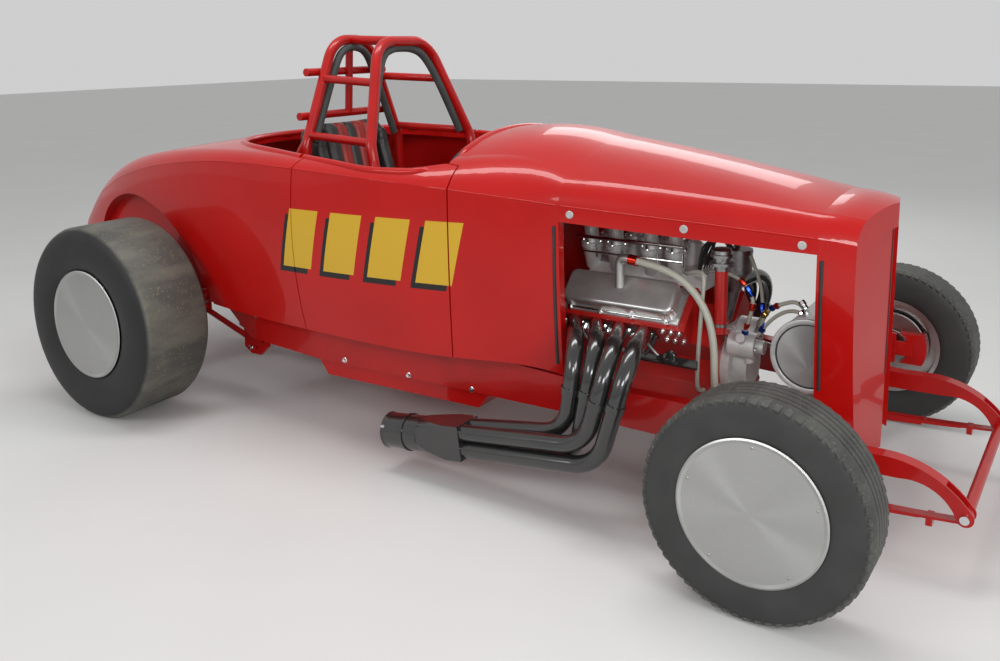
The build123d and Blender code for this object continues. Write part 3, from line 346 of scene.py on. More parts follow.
seatVinyl = toneAndGrain("seatVinyl", (0.020, 0.020, 0.021), (0.032, 0.031, 0.030), 18.0,
    (380, 0.45, 0.001, 0.34, 0.48))


def spunFinish(name, centre, metal=1.0):
    # turned face: rings in gloss and relief, highlights stretched from the middle
    material, tree, shader = newMaterial(name, Metallic=metal, Anisotropic=0.85)
    rings = useGroup(tree, ringsRound, Centre=centre, Rings=900.0)
    ramp = addNode(tree, "ShaderNodeMapRange", {"To Min": 0.22, "To Max": 0.42})
    tones = addNode(tree, "ShaderNodeMix", {"A": (0.50, 0.50, 0.49, 1), "B": (0.38, 0.38, 0.37, 1)},
        data_type="RGBA")
    bump = addNode(tree, "ShaderNodeBump", {"Strength": 0.12, "Distance": 0.0005})
    tangent = addNode(tree, "ShaderNodeTangent", direction_type="RADIAL", axis="Y")
    wire(tree, (rings, "Ring", ramp, "Value"), (ramp, "Result", shader, "Roughness"),
        (rings, "Ring", tones, "Factor"), (tones, "Result", shader, "Base Color"),
        (rings, "Ring", bump, "Height"), (bump, "Normal", shader, "Normal"),
        (tangent, "Tangent", shader, "Tangent"))
    return material


frontSpun = spunFinish("frontSpun", (frontX, 0, frontZ))
rearSpun = spunFinish("rearSpun", (rearX, 0, rearZ))
tankSpun = spunFinish("tankSpun", (frontX + tankStation, 0, tankZ), metal=0.7)


def makeSlantedBlocks():
    # masks of a row of leaning blocks on the outer body side, and of their drop shadow
    tree, source, out = newGroup("slantedBlocks", {
        "Start": 0.0, "Pitch": 0.2, "Share": 0.7, "Count": 4.0,
        "Low": 0.6, "High": 0.9, "Lean": 0.2, "Shift": 0.02,
    }, {"Block": "Float", "Shadow": "Float"})
    given = source.outputs
    coords = addNode(tree, "ShaderNodeTexCoord")
    parts = addNode(tree, "ShaderNodeSeparateXYZ")
    facing = addNode(tree, "ShaderNodeSeparateXYZ")
    wire(tree, (coords, "Object", parts, "Vector"), (coords, "Normal", facing, "Vector"))

    def both(a, b):
        return maths(tree, "MULTIPLY", a, b)

    def between(value, low, high):
        return both(maths(tree, "GREATER_THAN", value, low), maths(tree, "LESS_THAN", value, high))

    outer = maths(tree, "GREATER_THAN", both(parts.outputs["Y"], facing.outputs["Y"]), 0.2)
    for label, step in (("Block", 0.0), ("Shadow", 1.0)):
        shift = both(given["Shift"], step)
        up = maths(tree, "ADD", parts.outputs["Z"], shift)
        along = maths(tree, "ADD", maths(tree, "SUBTRACT", parts.outputs["X"], given["Start"]), shift)
        along = maths(tree, "SUBTRACT", along,
            both(maths(tree, "SUBTRACT", up, given["Low"]), given["Lean"]))
        count = maths(tree, "DIVIDE", along, given["Pitch"])
        inRow = between(count, 0.0, given["Count"])
        inBlock = maths(tree, "LESS_THAN", maths(tree, "FRACT", count), given["Share"])
        inHeight = between(up, given["Low"], given["High"])
        tree.links.new(both(outer, both(inHeight, both(inRow, inBlock))), out.inputs[label])
    return tree


slantedBlocks = makeSlantedBlocks()


def makeTreadZone():
    # how far a place lies towards the tread of a tyre, with scuffs on it
    tree, source, out = newGroup("treadZone", {
        "Centre": (0, 0, 0), "Inner": 0.38, "Outer": 0.4, "Scuffs": 14.0,
    }, {"Tread": "Float", "Scuff": "Float", "Speck": "Float"})
    coords = addNode(tree, "ShaderNodeTexCoord")
    rings = addNode(tree, "ShaderNodeGroup", node_tree=ringsRound)
    zone = addNode(tree, "ShaderNodeMapRange")
    wide = addNode(tree, "ShaderNodeTexNoise", {"Detail": 5})
    stretch = addNode(tree, "ShaderNodeVectorMath", {1: (1.0, 0.35, 1.0)}, operation="MULTIPLY")
    scuff = addNode(tree, "ShaderNodeMapRange", {"From Min": 0.42, "From Max": 0.66})
    fleck = addNode(tree, "ShaderNodeTexNoise", {"Scale": 95, "Detail": 2})
    speck = addNode(tree, "ShaderNodeMapRange", {"From Min": 0.60, "From Max": 0.68})
    wire(tree, (source, "Centre", rings, "Centre"), (rings, "Distance", zone, "Value"),
        (source, "Inner", zone, "From Min"), (source, "Outer", zone, "From Max"),
        (coords, "Object", stretch, 0), (stretch, "Vector", wide, "Vector"),
        (source, "Scuffs", wide, "Scale"), (wide, "Fac", scuff, "Value"),
        (coords, "Object", fleck, "Vector"), (fleck, "Fac", speck, "Value"),
        (zone, "Result", out, "Tread"), (scuff, "Result", out, "Scuff"), (speck, "Result", out, "Speck"))
    return tree


treadZone = makeTreadZone()


def mixTones(tree, factor, a, b):
    # colour mix; each of a and b is a colour or a socket
    node = addNode(tree, "ShaderNodeMix", data_type="RGBA")
    for socket, value in ((node.inputs["A"], a), (node.inputs["B"], b)):
        if isinstance(value, tuple):
            socket.default_value = (*value, 1)
        else:
            tree.links.new(value, socket)
    tree.links.new(factor, node.inputs["Factor"])
    return node.outputs["Result"]


def tyreRubber(name, centre, inner, outer, wallTone, treadTone, scuffTone, fleckTone):
    # dark wall, greyer worn tread with scuffs and specks picked up from the road
    material, tree, shader = newMaterial(name, Specular_IOR_Level=0.35)
    zone = useGroup(tree, treadZone, Centre=centre, Inner=inner, Outer=outer, Scuffs=13.0)
    wall = unevenColour(tree, wallTone, [tone * 1.35 for tone in wallTone], 9.0)
    worn = mixTones(tree, zone.outputs["Scuff"], treadTone, scuffTone)
    flecked = mixTones(tree, zone.outputs["Speck"], worn, fleckTone)
    tree.links.new(mixTones(tree, zone.outputs["Tread"], wall, flecked), shader.inputs["Base Color"])
    addGrain(tree, shader, 420.0, 0.25, 0.001, 0.42, 0.66)
    return material


frontRubber = tyreRubber("frontRubber", (frontX, 0, frontZ), 0.296, 0.306, (0.028, 0.029, 0.028),
    (0.050, 0.051, 0.047), (0.075, 0.075, 0.068), (0.105, 0.10, 0.088))
slickRubber = tyreRubber("slickRubber", (rearX, 0, rearZ), 0.392, 0.402, (0.014, 0.014, 0.015),
    (0.070, 0.070, 0.064), (0.120, 0.118, 0.100), (0.150, 0.135, 0.080))
anodisedRed = toneAndGrain("anodisedRed", (0.55, 0.030, 0.012), (0.45, 0.022, 0.010), 30.0,
    (300, 0.05, 0.001, 0.16, 0.28), Metallic=0.9)
anodisedBlue = toneAndGrain("anodisedBlue", (0.020, 0.060, 0.36), (0.016, 0.045, 0.28), 30.0,
    (300, 0.05, 0.001, 0.16, 0.28), Metallic=0.9)
anodisedGold = toneAndGrain("anodisedGold", (0.50, 0.34, 0.10), (0.42, 0.28, 0.08), 30.0,
    (300, 0.05, 0.001, 0.18, 0.30), Metallic=0.9)
sleeveFoam = toneAndGrain("sleeveFoam", (0.040, 0.046, 0.045), (0.058, 0.064, 0.062), 20.0,
    (260, 0.5, 0.002, 0.60, 0.80))


def makeCrossedThreads():
    # two crossing sets of fine diagonal threads
    tree, source, out = newGroup("crossedThreads", {"Scale": 420.0}, {"Thread": "Float", "Normal": "Vector"})
    coords = addNode(tree, "ShaderNodeTexCoord")
    waves = []
    for tilt in (0.8, -0.8):
        turned = addNode(tree, "ShaderNodeMapping", {"Rotation": (tilt, tilt, 0)})
        wave = addNode(tree, "ShaderNodeTexWave", bands_direction="Z")
        wire(tree, (coords, "Object", turned, "Vector"), (turned, "Vector", wave, "Vector"),
            (source, "Scale", wave, "Scale"))
        waves.append(wave)
    cross = addNode(tree, "ShaderNodeMath", operation="MULTIPLY")
    wire(tree, (waves[0], "Fac", cross, 0), (waves[1], "Fac", cross, 1))
    bump = addNode(tree, "ShaderNodeBump", {"Strength": 0.6, "Distance": 0.001})
    wire(tree, (cross, "Value", bump, "Height"), (cross, "Value", out, "Thread"),
        (bump, "Normal", out, "Normal"))
    return tree


crossedThreads = makeCrossedThreads()


def braidFinish():
    material, tree, shader = newMaterial("braidedHose", Roughness=0.45, Metallic=0.1)
    threads = useGroup(tree, crossedThreads, Scale=160.0)
    tree.links.new(mixTones(tree, threads.outputs["Thread"], (0.40, 0.40, 0.34), (0.64, 0.63, 0.54)),
        shader.inputs["Base Color"])
    wire(tree, (threads, "Normal", shader, "Normal"))
    return material


braidedHose = braidFinish()


def makeBandAcross():
    # one where the distance from the car's middle lies in a band
    tree, source, out = newGroup("bandAcross", {"Inner": 0.03, "Outer": 0.085}, {"Band": "Float"})
    coords = addNode(tree, "ShaderNodeTexCoord")
    parts = addNode(tree, "ShaderNodeSeparateXYZ")
    wire(tree, (coords, "Object", parts, "Vector"))
    reach = maths(tree, "ABSOLUTE", parts.outputs["Y"])
    above = maths(tree, "GREATER_THAN", reach, source.outputs["Inner"])
    below = maths(tree, "LESS_THAN", reach, source.outputs["Outer"])
    tree.links.new(maths(tree, "MULTIPLY", above, below), out.inputs["Band"])
    return tree


bandAcross = makeBandAcross()


def seatPanelFinish():
    # black hide with a red panel on each side of the middle
    material, tree, shader = newMaterial("seatPanels")
    black = unevenColour(tree, (0.022, 0.022, 0.023), (0.034, 0.033, 0.032), 18.0)
    red = unevenColour(tree, (0.36, 0.024, 0.018), (0.28, 0.016, 0.012), 14.0)
    band = useGroup(tree, bandAcross, Inner=0.027, Outer=0.098)
    tree.links.new(mixTones(tree, band.outputs["Band"], black, red), shader.inputs["Base Color"])
    addGrain(tree, shader, 380.0, 0.45, 0.001, 0.34, 0.50)
    return material


seatPanels = seatPanelFinish()


def paintedSide():
    # body red with a row of plain leaning blocks, yellow over a black shadow
    material = toneAndGrain("bodyRedMarked", *bodyPaint, **bodyGloss)
    tree = material.node_tree
    shader = tree.nodes["Principled BSDF"]
    red = shader.inputs["Base Color"].links[0].from_socket
    blocks = useGroup(tree, slantedBlocks, Start=frontX - 1.965, Pitch=0.205, Share=0.70, Count=4.0,
        Low=0.695, High=0.925, Lean=0.22, Shift=0.022)
    shadowed = mixTones(tree, blocks.outputs["Shadow"], red, (0.012, 0.010, 0.010))
    tree.links.new(mixTones(tree, blocks.outputs["Block"], shadowed, (0.56, 0.34, 0.022)),
        shader.inputs["Base Color"])
    return material


bodyMarked = paintedSide()

finishOfSlot = {
    "body_paint": bodyRed, "frame_paint": frameRed, "engine_paint": engineRed, "chrome": chrome,
        "steel": steel,
    "cast_alloy": castAlloy, "spun_alloy": polishedAlloy, "tyre": tyreBlack, "seat_vinyl": seatVinyl,
    "black_rim": rimBlack, "header_black": headerBlack,
}
finishOfNode = {
    "front_wheel_left": frontSpun, "front_wheel_right": frontSpun,
    "rear_wheel_left": rearSpun, "rear_wheel_right": rearSpun,
    "fuel_tank": tankSpun, "intake": blastedAlloy, "front_drive": blastedAlloy, "magneto": steel,
    "valve_covers": satinCover,
    "door_left": bodyMarked, "door_right": bodyMarked, "cowl": bodyMarked, "rear_body": bodyMarked,
}
slotOfNode = {row["node"]: row["material_slot"] for row in frame["record"]["subparts"]}
for nodeName, nodeObject in nodes.items():
    finish = finishOfNode.get(nodeName, finishOfSlot[slotOfNode[nodeName]])
    nodeObject.data.materials.clear()
    nodeObject.data.materials.append(finish)
print("finishes ready")


def spot(station, y, z):
    # a place given from the front axle, as on the drawing
    return (frontX + station, y, z)


def surfaceHit(origin, direction):
    # first surface met from a point; gives the place and its normal
    graph = bpy.context.evaluated_depsgraph_get()
    found, place, normal = bpy.context.scene.ray_cast(graph, Vector(origin),
        Vector(direction).normalized())[:3]
    return (place, normal) if found else (Vector(origin), -Vector(direction))


def turnTo(normal):
    return Vector(normal).to_track_quat("Z", "Y").to_matrix().to_4x4()


def frameAt(place, normal):
    return Matrix.Translation(Vector(place)) @ turnTo(normal)


def standAt(obj, place, normal):
    # a piece modelled on the origin goes to a place, its +Z along a normal
    obj.matrix_world = frameAt(place, normal)
    settle(obj)
    return obj


def copyAt(source, matrices, name):
    # one modelled shape set at many places
    copies = []
    for matrix in matrices:
        twin = source.copy()
        twin.data = source.data.copy()
        bpy.context.scene.collection.objects.link(twin)
        twin.matrix_world = matrix
        copies.append(twin)
    activate(source)
    bpy.ops.object.delete()
    return joinPieces(copies, name)


def copyTo(source, frames, name):
    # the same, with a place and a normal for each copy
    return copyAt(source, [frameAt(*pair) for pair in frames], name)


def ringAround(obj, steps, axle):
    # copies of the whole mesh all the way round a wheel's axle
    activate(obj)
    editAll()
    bpy.ops.mesh.spin(steps=steps - 1, dupli=True, angle=math.tau * (steps - 1) / steps,
        center=(axle.x, 0, axle.z), axis=(0, 1, 0))
    objectMode()


def turnedShape(name, profile, steps=16):
    # small turned part standing on the origin, profile as (radius, height)
    points = [(radius, 0, height) for radius, height in profile]
    return spinLine(name, points, (0, 0, 0), (0, 0, 1), steps)


def hexBolt(name, across, height):
    # six-sided head with a washer under it and a shallow crown
    deselectAll()
    bpy.ops.mesh.primitive_cylinder_add(vertices=6, radius=across * 0.55, depth=height,
        location=(0, 0, height * 0.62))
    head = bpy.context.object
    editMode()
    bpy.ops.mesh.select_all(action="DESELECT")
    bpy.ops.mesh.select_mode(type="FACE")
    objectMode()
    top = max(head.data.polygons, key=lambda face: face.center.z)
    top.select = True
    editMode()
    bpy.ops.mesh.inset(thickness=across * 0.07, depth=height * 0.12)
    objectMode()
    washer = turnedShape(name + "Washer", [(0, 0), (across * 0.78, 0), (across * 0.78, height * 0.12),
        (across * 0.7, height * 0.2), (0, height * 0.2)], 14)
    settle(head)
    return joinPieces([head, washer], name)


# wall and shoulder of a tyre: share of the half width, share of the height above the bead
tyreWall = [(0.78, 0.0), (0.87, 0.05), (0.935, 0.14), (0.978, 0.27), (1.0, 0.42), (1.0, 0.55),
    (0.99, 0.70), (0.965, 0.82), (0.925, 0.905), (0.86, 0.96)]
frontTread = {"radius": 0.315, "half": 0.0885, "bead": 0.190, "flat": 0.064,
    "grooves": (0.038, 0.013, -0.013, -0.038), "grooveHalf": 0.0032, "grooveDepth": 0.0055, "steps": 112,
    "lugs": 64}
rearTread = {"radius": 0.408, "half": 0.165, "bead": 0.212, "flat": 0.128, "grooves": (),
    "grooveHalf": 0.0, "grooveDepth": 0.0, "steps": 112}
crownDrop = 0.0008        # the tread's edge lies this far below its middle


def makeTyre(name, tread, axle, side):
    height = tread["radius"] - tread["bead"]
    top = tread["radius"]
    wall = [(tread["half"] * across, tread["bead"] + height * up) for across, up in tyreWall]
    crown = [(tread["flat"], top - crownDrop)]
    for middle in tread["grooves"]:
        w, d = tread["grooveHalf"], tread["grooveDepth"]
        crown += [(middle + w, top), (middle + w * 0.7, top - d), (middle - w * 0.7, top - d),
            (middle - w, top)]
    crown += [(-tread["flat"], top - crownDrop)]
    outline = wall + crown + [(-across, up) for across, up in reversed(wall)]
    centreY = side * abs(axle.y)
    points = [(axle.x, centreY + across, axle.z + up) for across, up in outline]
    return spinLine(name, points, (axle.x, 0, axle.z), (0, 1, 0), tread["steps"], close=True)


def makeFrontLugs(name, side):
    # slanted blocks round both shoulders, then small raised bars between the ribs
    parts = []
    pitch = math.tau * frontTread["radius"] / frontTread["lugs"]

    def addRow(word, low, high, bevel, turn, across, sink, count):
        piece = roundBox(f"{name}{word}", low, high, bevel, 1)
        piece.rotation_euler = turn
        piece.location = (frontX, side * abs(frontAxle.y) + across, frontZ + frontTread["radius"] - sink)
        settle(piece)
        ringAround(piece, count, frontAxle)
        parts.append(piece)

    for edge in (-1, 1):
        addRow("Lug", (-pitch * 0.33, -0.0125, -0.007), (pitch * 0.33, 0.0125, 0.0035), 0.0016,
            (-edge * math.radians(24), 0, edge * math.radians(14)), edge * 0.0745, 0.0075,
            frontTread["lugs"])
    for row, middle in enumerate((0.0255, 0.0, -0.0255)):
        addRow("Bar", (-0.0022, -0.0075, -0.003), (0.0022, 0.0075, 0.0004), 0.0006,
            (0, 0, math.radians(28 - 28 * row)), middle, 0.0003, frontTread["lugs"] + 16)
    return parts


# small fasteners inside the lip of each disc: axle, body, radius, Y of the face, count
discStuds = ((frontAxle, "wheel_front", 0.184, 0.9052, 5), (rearAxle, "wheel_rear", 0.206, 0.9905, 6))
studProfile = [(0.0042, 0), (0.0042, 0.0012), (0.003, 0.0024), (0, 0.0028)]
studSink = 0.0022

for side, word in sides:
    casing = makeTyre(f"frontTyre_{word}", frontTread, frontAxle, side)
    front = joinPieces([casing] + makeFrontLugs(f"front_{word}", side), f"frontTyre_{word}")
    dress(front, frontRubber, f"wheel_front_{word}", smooth=28)
    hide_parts(f"front_tyre_{word}")
    rear = makeTyre(f"rearSlick_{word}", rearTread, rearAxle, side)
    dress(rear, slickRubber, f"wheel_rear_{word}", smooth=28)
    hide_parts(f"rear_tyre_{word}")
    for axle, body, radius, face, count in discStuds:
        stud = turnedShape(f"discStud_{body}_{word}", studProfile, 10)
        stud.rotation_euler = (-side * math.radians(90), 0, 0)
        stud.location = (axle.x, side * (face - studSink), axle.z + radius)
        settle(stud)
        ringAround(stud, count, axle)
        dress(stud, steel, f"{body}_{word}", smooth=40)
print("tyres and wheels ready")

crankZ = 0.405
bankLean = math.sqrt(0.5)


def onBank(side, station, across, out):
    # a place on one cylinder bank: across the bank, and out from the crank
    return spot(station, side * (across + out) * bankLean, crankZ + (out - across) * bankLean)


outward = {side: (0, side * bankLean, bankLean) for side in (-1, 1)}
downward = {side: (0, side * bankLean, -bankLean) for side in (-1, 1)}

# bolts on each bank: stations, places (across, out), facing
bankBolts = [
    ((-0.515, -0.647, -0.769, -0.891), ((0.067, 0.338), (-0.071, 0.338)), outward),
    ((-0.575, -0.658, -0.752, -0.845, -0.912), ((0.098, 0.262), (0.098, 0.296)), downward),
    ((-0.470, -0.500, -0.530), ((0.088, 0.256), (0.088, 0.312)), downward),
]
boltFrames = []
for side in (-1, 1):
    for stations, places, facing in bankBolts:
        boltFrames += [(onBank(side, station, *place), facing[side])
            for station in stations for place in places]
engineBolts = copyTo(hexBolt("engineBolts", 0.013, 0.008), boltFrames, "engineBolts")
dress(engineBolts, chrome, smooth=30)

# polished lip along each valve cover, and low fins across its front corner
for side, word in sides:
    corners = [(-0.494, 0.0), (-0.494, 0.040), (-0.512, 0.063), (-0.70, 0.0635), (-0.889, 0.063)]
    lip = pipe(f"coverLip_{word}", [onBank(side, station, across, 0.3405) for station, across in corners],
        0.0042, 10, 3)
    dress(lip, chrome, smooth=40)
    fin = roundBox(f"coverFins_{word}", (-0.0012, -0.004, -0.021), (0.0012, 0.004, 0.021), 0.0008, 1)
    finFrames = []
    for number in range(9):
        turn = math.radians(10 * number + 5)
        place = onBank(side, -0.516 + 0.026 * math.sin(turn), 0.036 + 0.026 * math.cos(turn), 0.366)
        lean = Matrix.Rotation(-side * math.radians(45), 4, "X") @ Matrix.Rotation(-side * turn, 4, "Z")
        finFrames.append(Matrix.Translation(Vector(place)) @ lean)
    dress(copyAt(fin, finFrames, f"coverFins_{word}"), chrome, smooth=30)

# fuel bar, linkage and levers along the throttle bodies
throttleStations = (-0.575, -0.672, -0.812, -0.915)
barY, barZ, shaftY, shaftZ = 0.121, 0.824, 0.116, 0.768
for side, word in sides:
    rail = pipe("rail", [spot(station, side * barY, barZ) for station in (-0.53, -0.74, -0.955)],
        0.0065, 6, 4)
    shaft = pipe("shaft", [spot(station, side * shaftY, shaftZ) for station in (-0.535, -0.75, -0.95)],
        0.0035, 6, 3)
    parts = [rail, shaft]
    for station in throttleStations:
        nozzle = pipe("nozzle", [spot(station, side * barY, barZ), spot(station, side * shaftY, 0.808),
            spot(station, side * 0.106, 0.796)], 0.0045, 6, 3)
        lever = roundBox("lever", spot(station + 0.040, side * shaftY - 0.004, 0.750),
            spot(station + 0.045, side * shaftY + 0.004, 0.800), 0.0015, 1)
        parts += [nozzle, lever]
    dress(joinPieces(parts, f"fuelBar_{word}"), polishedAlloy, smooth=35)
nutFrames = []
for side in (-1, 1):
    for station in throttleStations:
        for forward, across in ((0.035, 0.0), (-0.035, 0.0), (0.0, 0.035), (0.0, -0.035)):
            nutFrames.append((spot(station + forward, side * (0.0758 + across * 0.991),
                0.8015 - across * 0.134), (0, side * 0.134, 0.991)))
dress(copyTo(hexBolt("throttleNuts", 0.008, 0.006), nutFrames, "throttleNuts"), chrome, smooth=30)

# breather elbow and its braided hose on the right cover
elbow = pipe("breatherElbow", [spot(-0.70, -0.272, 0.690), spot(-0.702, -0.268, 0.740),
    spot(-0.704, -0.266, 0.790), spot(-0.675, -0.270, 0.797), spot(-0.655, -0.272, 0.796)], 0.0165, 12, 6)
dress(elbow, castAlloy, smooth=50)
clampCollar = pipe("breatherCollar", [spot(-0.664, -0.272, 0.796), spot(-0.648, -0.273, 0.795),
    spot(-0.632, -0.274, 0.793)], 0.0185, 6, 6)
dress(clampCollar, anodisedRed, smooth=40)
# hose runs: name, radius, points from end to end
hoses = [
    ("breatherHose", 0.0125, [(-0.645, -0.274, 0.795), (-0.556, -0.285, 0.788), (-0.470, -0.290, 0.762),
        (-0.402, -0.296, 0.708), (-0.358, -0.300, 0.637), (-0.338, -0.300, 0.545), (-0.338, -0.292, 0.430),
        (-0.345, -0.26, 0.355), (-0.368, -0.18, 0.340), (-0.386, -0.12, 0.340)]),
    ("waterHose", 0.0072, [(-0.520, -0.120, 0.735), (-0.484, -0.185, 0.748), (-0.440, -0.205, 0.768),
        (-0.406, -0.228, 0.765), (-0.404, -0.245, 0.700), (-0.409, -0.250, 0.583), (-0.417, -0.250, 0.400),
        (-0.420, -0.220, 0.345), (-0.430, -0.150, 0.330)]),
    ("fuelHose", 0.0065, [(-0.440, -0.085, 0.742), (-0.385, -0.120, 0.756), (-0.330, -0.122, 0.742),
        (-0.297, -0.120, 0.715), (-0.272, -0.120, 0.672), (-0.276, -0.118, 0.635), (-0.290, -0.115, 0.590),
        (-0.302, -0.110, 0.545)]),
    ("ventHose", 0.0065, [(-0.322, -0.020, 0.800), (-0.300, -0.020, 0.750), (-0.276, -0.022, 0.680),
        (-0.262, -0.045, 0.600), (-0.262, -0.080, 0.540)]),
    ("tankHose", 0.0070, [(-0.262, -0.070, 0.560), (-0.246, -0.080, 0.622), (-0.189, -0.100, 0.662),
        (-0.120, -0.118, 0.690), (-0.098, -0.120, 0.660)]),
    ("returnHose", 0.0065, [(-0.262, -0.085, 0.540), (-0.236, -0.082, 0.586), (-0.175, -0.100, 0.640),
        (-0.110, -0.150, 0.664), (-0.086, -0.160, 0.650)]),
]
for name, radius, places in hoses:
    hose = pipe(name, [spot(*place) for place in places], radius, 12, 5)
    dress(hose, braidedHose, smooth=60)


def collarBetween(name, start, end, radius):
    # hexagon-backed screwed fitting between two places
    start, end = Vector(start), Vector(end)
    length = (end - start).length
    shape = turnedShape(name, [(0, 0), (radius * 0.85, 0), (radius, length * 0.12), (radius, length * 0.5),
        (radius * 0.8, length * 0.56), (radius * 0.8, length * 0.9), (radius * 0.7, length), (0, length)],
        8)
    return standAt(shape, start, end - start)


# screwed fittings: colour, radius, start, end
fittings = [
    ("red", 0.0105, (-0.322, -0.122, 0.737), (-0.300, -0.121, 0.718)),
        ("blue", 0.0110, (-0.298, -0.121, 0.716), (-0.276, -0.120, 0.682)),
    ("red", 0.0120, (-0.273, -0.119, 0.658), (-0.277, -0.118, 0.632)),
        ("red", 0.0100, (-0.292, -0.114, 0.584), (-0.299, -0.111, 0.560)),
    ("blue", 0.0120, (-0.300, -0.111, 0.556), (-0.304, -0.108, 0.532)),
        ("blue", 0.0105, (-0.268, -0.035, 0.640), (-0.262, -0.050, 0.596)),
    ("gold", 0.0120, (-0.252, -0.076, 0.604), (-0.228, -0.087, 0.636)),
        ("blue", 0.0115, (-0.222, -0.089, 0.640), (-0.206, -0.095, 0.651)),
    ("red", 0.0115, (-0.204, -0.096, 0.652), (-0.190, -0.100, 0.660)),
        ("steel", 0.0125, (-0.114, -0.119, 0.690), (-0.094, -0.120, 0.664)),
    ("blue", 0.0110, (-0.256, -0.084, 0.552), (-0.240, -0.082, 0.580)),
        ("steel", 0.0110, (-0.104, -0.154, 0.664), (-0.086, -0.160, 0.648)),
]
finishOfFitting = {"red": anodisedRed, "blue": anodisedBlue, "gold": anodisedGold, "steel": chrome}
for colour, finish in finishOfFitting.items():
    group = [collarBetween(f"fitting{number}", spot(*start), spot(*end), radius) for number,
        (tone, radius, start, end) in enumerate(fittings) if tone == colour]
    dress(joinPieces(group, f"fittings_{colour}"), finish, smooth=30)

# clamps round the red neck and the rim of the bright can
# each band: middle, radius, height
bandSizes = [
    ((-0.360, -0.195, 0.786), 0.0245, 0.016), ((-0.360, -0.195, 0.590), 0.0240, 0.012),
    ((-0.374, 0.0, 0.806), 0.0525, 0.008), ((-0.374, 0.0, 0.742), 0.0525, 0.006),
]
bands = []
for centre, radius, height in bandSizes:
    band = turnedShape("band", [(radius - 0.003, 0), (radius, 0.001), (radius, height - 0.001),
        (radius - 0.003, height)], 32)
    band.location = spot(centre[0], centre[1], centre[2] - height / 2)
    settle(band)
    bands.append(band)
neckCap = turnedShape("neckCap", [(0, 0.060), (0.026, 0.058), (0.033, 0.052), (0.034, 0.040),
    (0.038, 0.038), (0.038, 0.028), (0.029, 0.026), (0.028, 0.012), (0.040, 0.010), (0.040, 0.0), (0, 0)],
    28)
neckCap.location = spot(-0.360, -0.195, 0.797)
settle(neckCap)
dress(joinPieces(bands + [neckCap], "neckBands"), steel, smooth=35)

# leads from the can into the valley, and studs round the cast pump
leads = []
for side in (-1, 1):
    for number in range(4):
        y = side * (0.014 + 0.012 * number)
        leads.append(pipe("lead", [spot(-0.385, y, 0.812), spot(-0.405, y, 0.850 + 0.004 * number),
            spot(-0.460 - 0.006 * number, y * 1.2, 0.838), spot(-0.492, y * 1.3, 0.775),
            spot(-0.506 + 0.004 * number, y * 1.3, 0.722)], 0.0035, 8, 3))
dress(joinPieces(leads, "ignitionLeads"), rimBlack, smooth=60)
pumpFrames = []
for station, y, z, radius, count in ((-0.2615, -0.095, 0.500, 0.036, 6), (-0.2895, 0.0, 0.515, 0.046, 8)):
    for number in range(count):
        turn = math.tau * number / count
        pumpFrames.append((spot(station, y + radius * math.cos(turn), z + radius * math.sin(turn)),
            (1, 0, 0)))
dress(copyTo(hexBolt("pumpBolts", 0.010, 0.006), pumpFrames, "pumpBolts"), chrome, smooth=30)

# tank ends: a raised ring, and a thin black ring of painted shade where the groove lies
tankTrim = [
    ("tankRing", paleCap, [(0.105, 0), (0.105, 0.004), (0.108, 0.006), (0.116, 0.006), (0.1205, 0.004),
        (0.1215, 0)]),
    # black ring laid on the face: painted shade standing in for the groove
    ("tankGrooveShade", rimBlack, [(0.1002, 0.0002), (0.1002, 0.0012), (0.1048, 0.0012), (0.1048, 0.0002)]),
]
for side, word in sides:
    for name, finish, profile in tankTrim:
        piece = turnedShape(f"{name}_{word}", profile, 64)
        dress(standAt(piece, spot(tankStation, side * tankEndY, tankZ), (0, side, 0)), finish, smooth=40)

# dark bracket and grey rods beside the headers; each rod from and to a station and z
bracketY = 0.292
plugRods = (((-0.831, 0.522), (-0.796, 0.486)), ((-0.706, 0.522), (-0.662, 0.472)),
    ((-0.575, 0.514), (-0.536, 0.480)))
for side, word in sides:
    arm = roundBox("bracketArm", spot(-0.625, side * bracketY - 0.005, 0.448),
        spot(-0.398, side * bracketY + 0.005, 0.482), 0.003, 2)
    boss = turnedShape("bracketBoss", [(0.024, -0.008), (0.024, 0.008), (0.021, 0.010), (0.010, 0.010),
        (0.010, 0.004), (0, 0.004)], 28)
    standAt(boss, spot(-0.497, side * bracketY, 0.476), (0, side, 0))
    stay = pipe("bracketStay", [spot(-0.590, side * bracketY, 0.470), spot(-0.560, side * 0.290, 0.505),
        spot(-0.556, side * 0.286, 0.545)], 0.008, 6, 3)
    dress(joinPieces([arm, boss, stay], f"sideBracket_{word}"), headerBlack, smooth=40)
    rods = []
    for start, end in plugRods:
        middle = ((start[0] + end[0]) / 2, (start[1] + end[1]) / 2)
        rods.append(pipe("rod",
            [spot(start[0], side * 0.30, start[1]), spot(middle[0], side * 0.306, middle[1]),
            spot(end[0], side * 0.302, end[1])], 0.0055, 6, 4))
    dress(joinPieces(rods, f"plugRods_{word}"), steel, smooth=40)
print("engine ready")


def sideHit(side, station, height, start):
    # the body side met from outside or inside at a height; start is how far out the look begins
    return surfaceHit(spot(station, side * start, height), (0, -side, 0))


